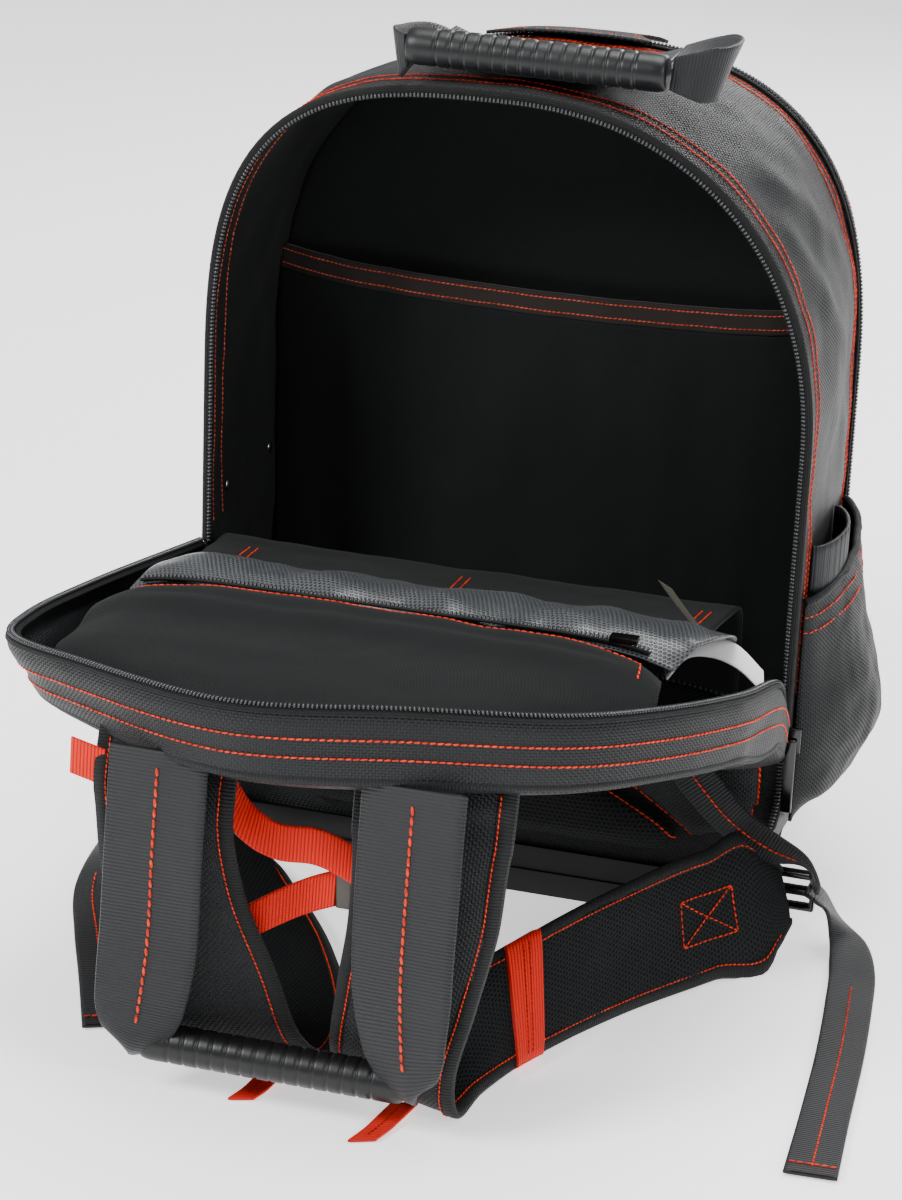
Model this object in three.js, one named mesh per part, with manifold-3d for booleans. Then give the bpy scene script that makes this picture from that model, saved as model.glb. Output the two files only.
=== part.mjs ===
// A tool backpack that stands on its moulded base with its back panel unzipped and folded down.
// Millimetres. X runs to the wearer's side, Y runs from the opened back to the front pocket, Z is up.
import * as THREE from "three";
import { mergeVertices } from "three/addons/utils/BufferGeometryUtils.js";
import Module from "manifold-3d";

const wasm = await Module();
wasm.setup();

// Bag
const BODY_WIDTH = 352;
const BODY_HEIGHT = 490;
const SHOULDER_HEIGHT = 292;
const REAR_DEPTH = 150;
const FRONT_DEPTH = 62;
const WALL = 3;
const SIDE_SWELL = 8;
const SEAM_GAP = 0.4;

// Moulded base
const BASE_HEIGHT = 30;
const BASE_WALL = 3;
const BASE_LIP_HEIGHT = 15;
const BASE_LIP = 1.6;

// Divider and the flat pocket on it
const DIVIDER_PLACE = REAR_DEPTH * 0.813;
const DIVIDER_WALL = 3.2;
const TABLET_POCKET_HEIGHT = 350;
const TABLET_POCKET_BULGE = 16;
const POCKET_CLOTH = 2;
const HEM_HEIGHT = 14;
const HEM_THICKNESS = 3.4;

// Lower back, below the fold of the opened panel
const FOLD_LEFT = 190;
const FOLD_RIGHT = 135;
const BACK_PADDING = 8;
const LUMBAR_PADDING = 12;
const WING_PADDING = 7;

// Opened back panel
const PANEL_REACH = 320;
const PANEL_LEVEL = 236;
const PANEL_WALL = 3;
const PANEL_PADDING = 9;
const PANEL_CLOTH = 2.4;
const NET_THICKNESS = 1.6;

// Zips
const COIL_WIDTH = 6;
const COIL_THICKNESS = 3;
const COIL_FOOT = 66;
const FRONT_ZIP_WIDTH = 13;
const PULLER_LENGTH = 46;
const PULLER_WIDTH = 7;
const PULLER_THICKNESS = 2.6;
const SLIDER_LENGTH = 15;
const SLIDER_DROP = 3;

// Straps, webbing and grips
const STRAP_WIDTH = 74;
const STRAP_PADDING = 8;
const HANDLE_WEB_WIDTH = 53;
const WEB_THICKNESS = 2;
const TAIL_WEB_WIDTH = 27;
const RED_WEB_WIDTH = 20;
const RED_WEB_THICKNESS = 1.6;
const GRIP_RADIUS = 10.5;
const GRIP_LENGTH = BODY_WIDTH * 0.409;
const TOP_GRIP_LENGTH = BODY_WIDTH * 0.415;
const GRIP_RIBS = 7;
const RIB_HEIGHT = 0.7;
const LOCK_WIDTH = 33;
const LOCK_LENGTH = 24;
const LOCK_THICKNESS = 7;
const LOCK_RIGHT = 0.525;
const LOCK_LEFT = -0.545;
const CLIP_WIDTH = 22;
const CLIP_LENGTH = 9;
const CLIP_THICKNESS = 4;
const RIVET_RADIUS = 4;
const RIVET_DOME = 1.6;

// Side pocket
const SIDE_POCKET_BULGE = 37;
const SIDE_POCKET_TOP = 204;
const SIDE_POCKET_FOOT = 62;
const LOOP_WIDTH = 28;
const LOOP_BOW = 12;

// Labels
const LABEL_WIDTH = 15;
const LABEL_THICKNESS = 1;

const COLOURS = {
  shell: { color: "#1b1d1f", roughness: 0.85 },
  lining: { color: "#202223", roughness: 0.95 },
  webbing: { color: "#1f2123", roughness: 0.8 },
  mesh: { color: "#26282a", roughness: 0.9 },
  net: { color: "#77797c", roughness: 0.5 },
  binding: { color: "#3b3431", roughness: 0.85 },
  rubber: { color: "#2b2d2f", roughness: 0.6 },
  moulded: { color: "#17181a", roughness: 0.55 },
  plastic: { color: "#101112", roughness: 0.25 },
  coil: { color: "#2a2c2e", roughness: 0.35 },
  red: { color: "#f0300f", roughness: 0.75 },
  grey: { color: "#8a8784", roughness: 0.5 },
  metal: { color: "#b9bbbd", roughness: 0.3, metalness: 0.9 },
  label: { color: "#f4f4f2", roughness: 0.7 },
  ribbon: { color: "#4c4a43", roughness: 0.8 },
};

// Rows of numbers under named columns
const table = (columns, rows) => rows.map((row) => (
  Object.fromEntries(columns.split(" ").map((column, k) => [column, row[k]]))
));

// Cross sections of the bag, as shares of its width and height; along is a share of the depth of its half
const REAR_SECTIONS = table("along width top apex left right footLeft footRight rise", [
  [0, 1, 0.986, -0.028, 3.15, 2.2, 0.13, 0.2, 0],
  [0.13, 1.004, 0.992, -0.026, 3, 2.25, 0.13, 0.19, 0],
  [0.4, 1.01, 1, -0.02, 2.8, 2.4, 0.13, 0.17, 0],
  [0.72, 1, 0.998, -0.008, 2.55, 2.6, 0.15, 0.18, 0],
  [1, 0.985, 0.99, 0, 2.4, 2.75, 0.17, 0.19, 0],
]);
const FRONT_SECTIONS = table("along width top apex left right footLeft footRight rise", [
  [0, 0.985, 0.99, 0, 2.4, 2.75, 0.17, 0.19, 0],
  [0.35, 0.97, 0.98, 0, 2.4, 2.85, 0.18, 0.2, 0],
  [0.72, 0.93, 0.952, 0, 2.4, 2.8, 0.2, 0.21, 0.004],
  [0.93, 0.86, 0.915, 0, 2.4, 2.6, 0.2, 0.2, 0.02],
  [1, 0.79, 0.878, 0, 2.4, 2.5, 0.2, 0.2, 0.05],
]);
const FOOT_UPRIGHT = 1.3;
const ARCH_STEPS = 9;
const FOOT_STEPS = 4;
const SIDE_STEPS = 3;

// Zipped edge of the opened panel: across is a share of the bag's width, out of the panel's reach and up of
// its level; drop is the height of its gusset and flare how far the gusset leans out, in the same shares
const PANEL_RIM = table("across out up drop flare", [
  [0.49, 0.014, 0.6, 0.13, 0],
  [0.507, 0.22, 0.775, 0.15, 0],
  [0.487, 0.41, 0.84, 0.15, 0],
  [0.409, 0.64, 0.911, 0.145, 0.015],
  [0.3, 0.82, 0.966, 0.15, 0.015],
  [0.091, 0.95, 1.004, 0.155, 0.01],
  [-0.148, 0.99, 0.987, 0.15, 0.005],
  [-0.432, 0.853, 0.945, 0.14, -0.04],
  [-0.594, 0.722, 0.907, 0.12, -0.08],
  [-0.614, 0.594, 0.89, 0.11, -0.09],
  [-0.59, 0.36, 0.86, 0.09, -0.04],
  [-0.522, 0.014, 0.82, 0.06, 0],
]);
const RIM_STEPS = 30;
const HINGE_STEPS = 6;

// Rings of the panel's shell, from its zipped edge down the gusset and in over the padded back face; bulge is
// a share of its padding and thick a share of its wall
const PANEL_RINGS = table("drop bulge inward sink thick", [
  [0, 0, 1, 0, 0.5],
  [0.35, 0.33, 1, 0, 1],
  [0.8, 0.28, 1, 0, 1],
  [1, -0.11, 0.985, 0.01, 1.6],
  [1, -0.33, 0.9, 0.03, 3],
  [1, 0, 0.5, 0.045, 3],
  [1, 0, 0.02, 0.045, 3],
]);

// Cross rows of the lined pocket inside the panel, from its stitched top to where it tucks under the zip
const PANEL_POCKET_ROWS = table("out up left right", [
  [0.535, 0.96, -0.49, 0.375],
  [0.555, 1.005, -0.492, 0.382],
  [0.585, 1.02, -0.497, 0.39],
  [0.62, 1.015, -0.503, 0.395],
  [0.66, 0.99, -0.51, 0.395],
  [0.75, 0.975, -0.51, 0.325],
  [0.85, 0.955, -0.39, 0.2],
  [0.925, 0.915, -0.25, 0.09],
]);
const NET_ROWS = table("out up left right", [
  [0.53, 0.985, -0.47, 0.4],
  [0.47, 1.015, -0.46, 0.42],
  [0.39, 1.0, -0.45, 0.44],
  [0.31, 0.95, -0.44, 0.45],
  [0.24, 0.905, -0.43, 0.44],
]);
const FLAP_ROWS = table("out up left right", [
  [0.26, 0.88, -0.47, 0.39],
  [0.16, 0.868, -0.475, 0.395],
  [0.07, 0.857, -0.478, 0.4],
  [0, 0.842, -0.48, 0.405],
  [-0.03, 0.8, -0.48, 0.405],
  [-0.0305, 0.5, -0.48, 0.405],
]);

// Runs of strap and webbing: across in bag widths, out in panel reaches, up in panel levels, width as a share
// of the strap's own width; heading and tilt turn the strap's cross direction, in degrees
const RUN = "across out up width heading tilt";
const STRAP_RIGHT_RUN = table(RUN, [
  [0.125, 0.86, 0.83, 1.12, 2, 0],
  [0.132, 0.91, 0.7, 1.1, 2, 0],
  [0.125, 0.915, 0.5, 1.04, 0, 0],
  [0.1, 0.905, 0.3, 1, -4, 0],
  [0.08, 0.89, 0.12, 0.95, -10, 0],
  [0.092, 0.85, 0.036, 0.92, -24, -2],
  [0.145, 0.72, 0.092, 0.9, -52, -32],
  [0.235, 0.54, 0.128, 0.9, -70, -54],
  [0.325, 0.36, 0.138, 0.94, -70, -58],
  [0.42, 0.2, 0.142, 0.96, -60, -58],
  [0.5, 0.11, 0.15, 0.82, -50, -60],
  [0.53, 0.085, 0.155, 0.45, -50, -60],
]);
const STRAP_LEFT_RUN = table(RUN, [
  [-0.285, 0.86, 0.83, 1.02, 2, 0],
  [-0.28, 0.91, 0.7, 1, 2, 0],
  [-0.265, 0.91, 0.5, 1, 4, 0],
  [-0.225, 0.895, 0.3, 1.06, 6, 0],
  [-0.19, 0.875, 0.12, 1.08, 10, 0],
  [-0.16, 0.82, 0.028, 1.08, 16, 2],
  [-0.165, 0.69, 0.042, 1.05, 24, -6],
  [-0.235, 0.5, 0.07, 1.02, 32, -14],
  [-0.345, 0.31, 0.085, 1, 36, -18],
  [-0.45, 0.17, 0.1, 0.9, 38, -20],
  [-0.5, 0.12, 0.11, 0.5, 38, -20],
]);
const HANDLE_WEB_LEFT_RUN = table(RUN, [
  [-0.272, 0.955, 0.84, 1.02, 0, 0],
  [-0.275, 0.972, 0.6, 1.02, 0, 0],
  [-0.28, 0.978, 0.38, 1.02, 2, 0],
  [-0.292, 0.985, 0.22, 0.9, 8, -8],
  [-0.305, 0.98, 0.13, 0.62, 20, -24],
  [-0.31, 0.955, 0.1, 0.4, 40, -50],
]);
const HANDLE_WEB_RIGHT_RUN = table(RUN, [
  [0.118, 0.965, 0.85, 1.04, 0, 0],
  [0.116, 0.982, 0.6, 1.04, 0, 0],
  [0.114, 0.985, 0.38, 1.02, -2, 0],
  [0.122, 0.99, 0.22, 0.86, -8, 8],
  [0.13, 0.98, 0.13, 0.6, -20, 24],
  [0.13, 0.955, 0.1, 0.4, -40, 50],
]);
const LOWER_WEB_RIGHT_RUN = table(RUN, [
  [0.3, 0.03, 0.5, 1, -8, 38],
  [0.36, 0.045, 0.405, 1, -12, 42],
  [0.43, 0.075, 0.325, 1, -30, 52],
  [0.5, 0.1, 0.285, 1, -50, 56],
  [0.555, 0.105, 0.265, 1, -64, 30],
  [0.576, 0.095, 0.225, 1, -70, 8],
  [0.572, 0.07, 0.185, 1, -70, 0],
]);
const TAIL_RIGHT_RUN = table(RUN, [
  [0.56, 0.055, 0.165, 1, 92, -8],
  [0.582, 0.06, 0.15, 1, 92, -8],
  [0.605, 0.05, 0.1, 1, 80, -30],
  [0.632, 0.05, 0.04, 1, 45, -20],
  [0.655, 0.13, 0.012, 1, 15, -4],
  [0.672, 0.27, 0.011, 1, 3, 0],
  [0.688, 0.45, 0.011, 1, -1, 0],
  [0.7, 0.65, 0.011, 1, 0, 0],
  [0.712, 0.86, 0.011, 1.06, 3, 0],
]);
const LOWER_WEB_LEFT_RUN = table(RUN, [
  [-0.42, 0.055, 0.36, 1, 60, 24],
  [-0.47, 0.075, 0.29, 1, 60, 26],
  [-0.53, 0.09, 0.24, 1, 62, 16],
  [-0.565, 0.1, 0.2, 1, 66, 4],
  [-0.575, 0.1, 0.165, 1, 70, 0],
]);
const TAIL_LEFT_RUN = table(RUN, [
  [-0.575, 0.07, 0.14, 1, -70, 30],
  [-0.598, 0.12, 0.14, 1, -50, 40],
  [-0.615, 0.2, 0.09, 1, -30, 30],
  [-0.605, 0.32, 0.025, 1, -14, 8],
  [-0.545, 0.47, 0.011, 1, 10, 0],
  [-0.473, 0.64, 0.011, 1, 22, 0],
  [-0.412, 0.785, 0.011, 1.06, 26, 0],
]);
const CHEST_UPPER_RUN = table(RUN, [
  [-0.2, 0.87, 0.72, 1, 82, 20],
  [-0.165, 0.862, 0.64, 1, 84, 50],
  [-0.12, 0.855, 0.6, 1, 90, 80],
  [-0.06, 0.855, 0.602, 1, 96, 80],
  [-0.02, 0.855, 0.585, 1, 100, 70],
  [0.03, 0.86, 0.55, 1, 100, 50],
]);
const CHEST_LOWER_RUN = table(RUN, [
  [-0.2, 0.885, 0.355, 1, 100, 74],
  [-0.14, 0.87, 0.42, 1, 100, 78],
  [-0.08, 0.84, 0.465, 1, 98, 78],
  [-0.03, 0.84, 0.5, 1, 96, 76],
]);
const TAB_UPPER_LEFT_RUN = table(RUN, [
  [-0.375, 0.9, 0.74, 1, 90, 84],
  [-0.43, 0.9, 0.76, 1, 90, 84],
]);
const TAB_FLOOR_LEFT_RUN = table(RUN, [
  [-0.1, 0.81, 0.036, 0.7, 20, 0],
  [-0.115, 0.86, 0.03, 0.7, 20, 0],
  [-0.13, 0.905, 0.012, 0.7, 20, 0],
  [-0.142, 0.94, 0.008, 0.7, 20, 0],
]);
const TAB_FLOOR_RIGHT_RUN = table(RUN, [
  [0.095, 0.87, 0.014, 0.75, 24, 0],
  [0.087, 0.92, 0.014, 0.75, 24, 0],
  [0.078, 0.96, 0.01, 0.75, 24, 0],
  [0.066, 1, 0.008, 0.75, 24, 0],
]);
const LABEL_RUN = table(RUN, [
  [0.34, 0.285, 0.81, 1, -70, -14],
  [0.372, 0.285, 0.88, 1, -70, -34],
  [0.412, 0.285, 0.892, 1, -70, -42],
  [0.455, 0.29, 0.875, 1, -72, -42],
  [0.498, 0.295, 0.825, 1, -74, -36],
]);
const RIBBON_RUN = table(RUN, [
  [0.324, 0.25, 1.01, 0.62, 10, -30],
  [0.352, 0.25, 0.96, 0.62, 10, -30],
  [0.39, 0.25, 0.9, 0.62, 10, -30],
]);

// Small helpers
const vec = (x, y, z) => new THREE.Vector3(x, y, z);
const mix = THREE.MathUtils.lerp;
const radians = THREE.MathUtils.degToRad;
const foldHeight = (x) => mix(FOLD_LEFT, FOLD_RIGHT, x / BODY_WIDTH + 0.5);
const PANEL_FRAME = { across: BODY_WIDTH, out: PANEL_REACH, up: PANEL_LEVEL };
const TOP_FRAME = { across: BODY_WIDTH, out: REAR_DEPTH, up: BODY_HEIGHT };
function place(row, frame = PANEL_FRAME) {
  return vec(row.across * frame.across, -row.out * frame.out, row.up * frame.up);
}
function meanOf(points) {
  const sum = points.reduce((total, point) => total.add(point), vec(0, 0, 0));
  return sum.divideScalar(points.length);
}

// A closed geometry as a solid, turned right side out
function solidOf(geometry) {
  const bare = new THREE.BufferGeometry();
  bare.setAttribute("position", geometry.getAttribute("position"));
  bare.setIndex(geometry.index);
  const merged = mergeVertices(bare, 1e-4);
  const kept = [];
  for (let i = 0; i < merged.index.count; i += 3) {
    const face = [0, 1, 2].map((k) => merged.index.getX(i + k));
    if (new Set(face).size === 3) kept.push(...face);
  }
  const corners = new Uint32Array(kept);
  const build = () => new wasm.Manifold(new wasm.Mesh({
    numProp: 3,
    vertProperties: new Float32Array(merged.attributes.position.array),
    triVerts: corners,
  }));
  const solid = build();
  if (solid.volume() >= 0) return solid;
  for (let i = 0; i < corners.length; i += 3) {
    [corners[i + 1], corners[i + 2]] = [corners[i + 2], corners[i + 1]];
  }
  return build();
}

function geometryOf(solid) {
  const mesh = solid.getMesh();
  const geometry = new THREE.BufferGeometry();
  geometry.setAttribute("position", new THREE.BufferAttribute(mesh.vertProperties, 3));
  geometry.setIndex(new THREE.BufferAttribute(mesh.triVerts, 1));
  return geometry;
}

// The largest body of a solid, without the crumbs that a cut leaves
function largest(solid) {
  const bodies = solid.decompose().sort((a, b) => b.volume() - a.volume());
  return bodies[0];
}

// A surface given as rows of points becomes a closed sheet; thickness(row, column) is measured across it.
// grow thickens it and lengthens its open edges, which gives the room that a neighbour has to keep clear.
function sheet(rows, thickness, { loop = false, grow = 0 } = {}) {
  const count = rows[0].length;
  const last = rows.length - 1;
  const at = (i, j) => rows[i][loop ? (j + count) % count : j];
  const stretched = rows.map((row, i) => row.map((point, j) => {
    const moved = point.clone();
    const push = (from) => moved.add(point.clone().sub(from).setLength(grow));
    if (grow > 0 && i === 0) push(at(1, j));
    if (grow > 0 && i === last) push(at(last - 1, j));
    if (grow > 0 && !loop && j === 0) push(at(i, 1));
    if (grow > 0 && !loop && j === count - 1) push(at(i, count - 2));
    return moved;
  }));
  const normal = (i, j) => {
    const ahead = at(Math.min(i + 1, last), j).clone().sub(at(Math.max(i - 1, 0), j));
    const before = loop ? at(i, j - 1) : at(i, Math.max(j - 1, 0));
    const after = loop ? at(i, j + 1) : at(i, Math.min(j + 1, count - 1));
    return ahead.cross(after.clone().sub(before)).normalize();
  };
  const points = [];
  const index = (side, i, j) => (side * rows.length + i) * count + (loop ? (j + count) % count : j);
  for (const side of [1, -1]) {
    stretched.forEach((row, i) => row.forEach((point, j) => {
      points.push(...point.clone().addScaledVector(normal(i, j), side * (thickness(i, j) / 2 + grow)));
    }));
  }
  const faces = [];
  const quad = (a, b, c, d) => faces.push(a, b, c, a, c, d);
  const spans = loop ? count : count - 1;
  for (let i = 0; i < last; i += 1) {
    for (let j = 0; j < spans; j += 1) {
      quad(index(0, i, j), index(0, i + 1, j), index(0, i + 1, j + 1), index(0, i, j + 1));
      quad(index(1, i, j), index(1, i, j + 1), index(1, i + 1, j + 1), index(1, i + 1, j));
    }
  }
  for (let j = 0; j < spans; j += 1) {
    quad(index(0, 0, j), index(0, 0, j + 1), index(1, 0, j + 1), index(1, 0, j));
    quad(index(0, last, j), index(1, last, j), index(1, last, j + 1), index(0, last, j + 1));
  }
  for (let i = 0; i < last && !loop; i += 1) {
    quad(index(0, i, 0), index(1, i, 0), index(1, i + 1, 0), index(0, i + 1, 0));
    quad(index(0, i, spans), index(0, i + 1, spans), index(1, i + 1, spans), index(1, i, spans));
  }
  return closed(points, faces);
}

function closed(points, faces) {
  const geometry = new THREE.BufferGeometry();
  geometry.setAttribute("position", new THREE.Float32BufferAttribute(points, 3));
  geometry.setIndex(faces);
  return solidOf(geometry);
}

// Rings of points, one behind the other, become a filled solid with a fan at each end
function loft(rings) {
  const count = rings[0].length;
  const points = rings.flat().flatMap((point) => [...point]);
  const faces = [];
  for (let i = 0; i + 1 < rings.length; i += 1) {
    for (let j = 0; j < count; j += 1) {
      const next = (j + 1) % count;
      faces.push(i * count + j, (i + 1) * count + j, (i + 1) * count + next);
      faces.push(i * count + j, (i + 1) * count + next, i * count + next);
    }
  }
  [0, rings.length - 1].forEach((i, end) => {
    const middle = meanOf(rings[i]);
    const hub = points.length / 3;
    points.push(...middle);
    for (let j = 0; j < count; j += 1) {
      const pair = [i * count + j, i * count + (j + 1) % count];
      faces.push(hub, pair[end], pair[1 - end]);
    }
  });
  return closed(points, faces.reverse());
}

// A straight prism: an outline drawn in one plane and run along the axis across it, from low to high
function prism(corners, axis, low, high) {
  const shape = new THREE.Shape(corners.map(([a, b]) => new THREE.Vector2(a, b)));
  const geometry = new THREE.ExtrudeGeometry(shape, { depth: high - low, bevelEnabled: false });
  geometry.translate(0, 0, low);
  if (axis === "y") geometry.rotateX(Math.PI / 2).scale(1, -1, 1);
  return solidOf(geometry);
}

function block(low, high) {
  const corners = [[low.x, low.y], [high.x, low.y], [high.x, high.y], [low.x, high.y]];
  return prism(corners, "z", low.z, high.z);
}

// Outline of the bag across one section, moved out by grow: anticlockwise seen from the opened back
function outline(section, grow) {
  const right = (BODY_WIDTH * section.width) / 2;
  const left = -right - SIDE_SWELL;
  const top = BODY_HEIGHT * section.top;
  const apex = BODY_WIDTH * section.apex;
  const floor = BASE_WALL + SEAM_GAP + BODY_HEIGHT * section.rise;
  const side = (edge, foot, square) => ({ edge, foot: Math.sign(edge) * BODY_WIDTH * foot, square });
  const sides = [side(right, section.footRight, section.right), side(left, section.footLeft, section.left)];
  const half = ({ edge, foot, square }) => {
    const points = [];
    const footTop = floor + Math.abs(foot) * FOOT_UPRIGHT;
    for (let i = 0; i <= FOOT_STEPS; i += 1) {
      const angle = (i / FOOT_STEPS) * (Math.PI / 2);
      points.push([edge - foot * (1 - Math.sin(angle)), mix(footTop, floor, Math.cos(angle))]);
    }
    for (let i = 1; i < SIDE_STEPS; i += 1) {
      points.push([edge, mix(footTop, SHOULDER_HEIGHT, i / SIDE_STEPS)]);
    }
    for (let i = 0; i < ARCH_STEPS; i += 1) {
      const angle = (i / ARCH_STEPS) * (Math.PI / 2);
      const across = Math.cos(angle) ** (2 / square);
      points.push([mix(apex, edge, across), mix(SHOULDER_HEIGHT, top, Math.sin(angle) ** (2 / square))]);
    }
    return points.map(([x, z]) => new THREE.Vector2(x, z));
  };
  const points = [
    new THREE.Vector2(0, floor),
    ...half(sides[0]),
    new THREE.Vector2(apex, top),
    ...half(sides[1]).reverse(),
  ];
  return points.map((point, i) => {
    const before = points[(i + points.length - 1) % points.length];
    const after = points[(i + 1) % points.length];
    const a = point.clone().sub(before).normalize();
    const b = after.clone().sub(point).normalize();
    const out = new THREE.Vector2(a.y + b.y, -a.x - b.x).normalize();
    return point.clone().addScaledVector(out, grow / Math.max(0.5, out.dot(new THREE.Vector2(a.y, -a.x))));
  });
}

// The filled bag between its sections, moved out by grow, with its ends moved by nearEnd and farEnd
function bag(sections, start, depth, grow, nearEnd, farEnd) {
  const rings = sections.map((section, i) => {
    const shift = (i === 0 ? -nearEnd : 0) + (i === sections.length - 1 ? farEnd : 0);
    const y = start + depth * section.along + shift;
    return outline(section, grow).map((point) => vec(point.x, y, point.y));
  });
  return loft(rings);
}

const rearBag = (grow, nearEnd, farEnd) => bag(REAR_SECTIONS, 0, REAR_DEPTH, grow, nearEnd, farEnd);
function frontBag(grow, nearEnd, farEnd) {
  return bag(FRONT_SECTIONS, REAR_DEPTH, FRONT_DEPTH, grow, nearEnd, farEnd);
}
const wholeBag = (grow) => rearBag(grow, grow, 1).add(frontBag(grow, 1, grow));

// Everything below, or above, the slanted fold of the opened panel, moved up by rise
const foldPrism = (rise, from, low, high) => prism([
  [-BODY_WIDTH, from],
  [BODY_WIDTH, from],
  [BODY_WIDTH, foldHeight(BODY_WIDTH) + rise],
  [-BODY_WIDTH, foldHeight(-BODY_WIDTH) + rise],
], "y", low, high);

// A strap: its rows carry a centre, a width and the direction of its cross line
function strap(rows, size, { steps = 16, edge = [1, 1], grow = 0, frame = PANEL_FRAME } = {}) {
  const centres = new THREE.CatmullRomCurve3(rows.map((row) => place(row, frame)), false, "centripetal");
  const turns = new THREE.CatmullRomCurve3(rows.map((row) => vec(row.heading, row.tilt, row.width)));
  const grid = [];
  for (let i = 0; i <= steps; i += 1) {
    const centre = centres.getPoint(i / steps);
    const turn = turns.getPoint(i / steps);
    const [heading, tilt] = [radians(turn.x), radians(turn.y)];
    const cross = vec(Math.cos(heading) * Math.cos(tilt), Math.sin(heading) * Math.cos(tilt), Math.sin(tilt));
    grid.push(edge.map((share, j) => {
      const along = j / (edge.length - 1) - 0.5;
      return centre.clone().addScaledVector(cross, along * size.width * turn.z);
    }));
  }
  return sheet(grid, (i, j) => size.thickness * edge[j], { grow });
}
const PADDED_EDGE = [0.45, 1, 1, 0.45];

// A grip: a ribbed tube along X between two places
function grip(middle, length, slope, grow) {
  const radius = GRIP_RADIUS + grow;
  const half = length / 2 + grow;
  const profile = [new THREE.Vector2(0, -half), new THREE.Vector2(radius * 0.9, -half)];
  const pitch = (length * 0.72) / GRIP_RIBS;
  for (let i = 0; i < GRIP_RIBS; i += 1) {
    const at = (i - (GRIP_RIBS - 1) / 2) * pitch;
    profile.push(new THREE.Vector2(radius, at - pitch * 0.3), new THREE.Vector2(radius + RIB_HEIGHT, at));
  }
  profile.push(new THREE.Vector2(radius * 0.9, half), new THREE.Vector2(0, half));
  const tube = new THREE.LatheGeometry(profile, 10);
  tube.rotateZ(-Math.PI / 2);
  tube.rotateY(slope);
  tube.translate(middle.x, middle.y, middle.z);
  return solidOf(tube);
}

// Body, base, divider and its pocket
const bodyWall = () => rearBag(0, 0, 0).subtract(rearBag(-WALL, 1, 1));

const frontCase = () => frontBag(0, -SEAM_GAP, 0).subtract(frontBag(-WALL, 1, -WALL));

function baseTray() {
  const below = (low, height) => block(
    vec(-BODY_WIDTH, -BODY_WIDTH, low),
    vec(BODY_WIDTH, BODY_WIDTH, height),
  );
  const outer = wholeBag(SEAM_GAP + BASE_WALL).intersect(below(-BASE_WALL, BASE_HEIGHT));
  const lip = wholeBag(SEAM_GAP + BASE_WALL + BASE_LIP).intersect(below(0, BASE_LIP_HEIGHT));
  return outer.add(lip).subtract(wholeBag(SEAM_GAP));
}

const insideRear = () => rearBag(-WALL - SEAM_GAP, 0, 0);

// A slab across the inside of the rear bag, between two depths
function insideSlab(low, high) {
  const slab = block(vec(-BODY_WIDTH, low, -BASE_WALL), vec(BODY_WIDTH, high, BODY_HEIGHT * 1.1));
  return insideRear().intersect(slab);
}

const divider = () => insideSlab(DIVIDER_PLACE, DIVIDER_PLACE + DIVIDER_WALL);

// Face of the flat pocket: it lies on the divider at its foot and sides and bulges towards the opening
function pocketFace(low, high, rows) {
  const half = BODY_WIDTH * 0.53;
  const columns = 12;
  const grid = [];
  for (let i = 0; i <= rows; i += 1) {
    const z = mix(low, high, i / rows);
    const lift = Math.min(1, Math.sqrt((z - TABLET_POCKET_HEIGHT * 0.1) / (TABLET_POCKET_HEIGHT * 0.5)) || 0);
    const row = [];
    for (let j = 0; j <= columns; j += 1) {
      const across = (2 * j) / columns - 1;
      const sag = TABLET_POCKET_HEIGHT * 0.025 * (1 - across * across) * (z / TABLET_POCKET_HEIGHT);
      const bulge = TABLET_POCKET_BULGE * lift * (1 - Math.abs(across) ** 5);
      row.push(vec(across * half, DIVIDER_PLACE - SEAM_GAP - HEM_THICKNESS / 2 - bulge, z - sag));
    }
    grid.push(row);
  }
  return grid;
}
const pocketTop = TABLET_POCKET_HEIGHT - HEM_HEIGHT;
const tabletPocket = () => sheet(pocketFace(TABLET_POCKET_HEIGHT * 0.1, pocketTop, 6), () => POCKET_CLOTH)
  .intersect(insideRear());
const pocketHem = () => sheet(pocketFace(pocketTop + SEAM_GAP, TABLET_POCKET_HEIGHT, 1), () => HEM_THICKNESS)
  .intersect(insideRear());

// Zips: the coil round the open rim, its closed ends below the fold, and the closed front zip
function rimCoil(grow) {
  const section = REAR_SECTIONS[0];
  const edge = (shift) => outline(section, shift).map((point) => (
    vec(point.x, -SEAM_GAP - COIL_THICKNESS / 2, point.y)
  ));
  return sheet([edge(grow), edge(-COIL_WIDTH - grow)], () => COIL_THICKNESS + 2 * grow, { loop: true });
}
const aboveFold = () => prism([
  [-BODY_WIDTH, foldHeight(-BODY_WIDTH) + COIL_WIDTH],
  [BODY_WIDTH, foldHeight(BODY_WIDTH) + COIL_WIDTH],
  [BODY_WIDTH, BODY_HEIGHT * 1.1],
  [-BODY_WIDTH, BODY_HEIGHT * 1.1],
], "y", -BODY_WIDTH, BODY_WIDTH);
const rimZip = (grow = 0) => rimCoil(grow).intersect(aboveFold());
function closedCoil(side) {
  const [left, right] = [0, side * BODY_WIDTH].sort((a, b) => a - b);
  const keep = block(vec(left, -BODY_WIDTH, COIL_FOOT), vec(right, BODY_WIDTH, BODY_HEIGHT));
  return rimCoil(0).intersect(foldPrism(-COIL_WIDTH, -BASE_WALL, -BODY_WIDTH, BODY_WIDTH)).intersect(keep);
}
function frontZip(grow = 0) {
  const band = FRONT_ZIP_WIDTH / 2 + grow;
  const keep = block(
    vec(-BODY_WIDTH, REAR_DEPTH - band, COIL_FOOT),
    vec(BODY_WIDTH, REAR_DEPTH + band, BODY_HEIGHT * 1.1),
  );
  return wholeBag(SEAM_GAP + COIL_THICKNESS + grow).subtract(wholeBag(SEAM_GAP)).intersect(keep);
}

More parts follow.
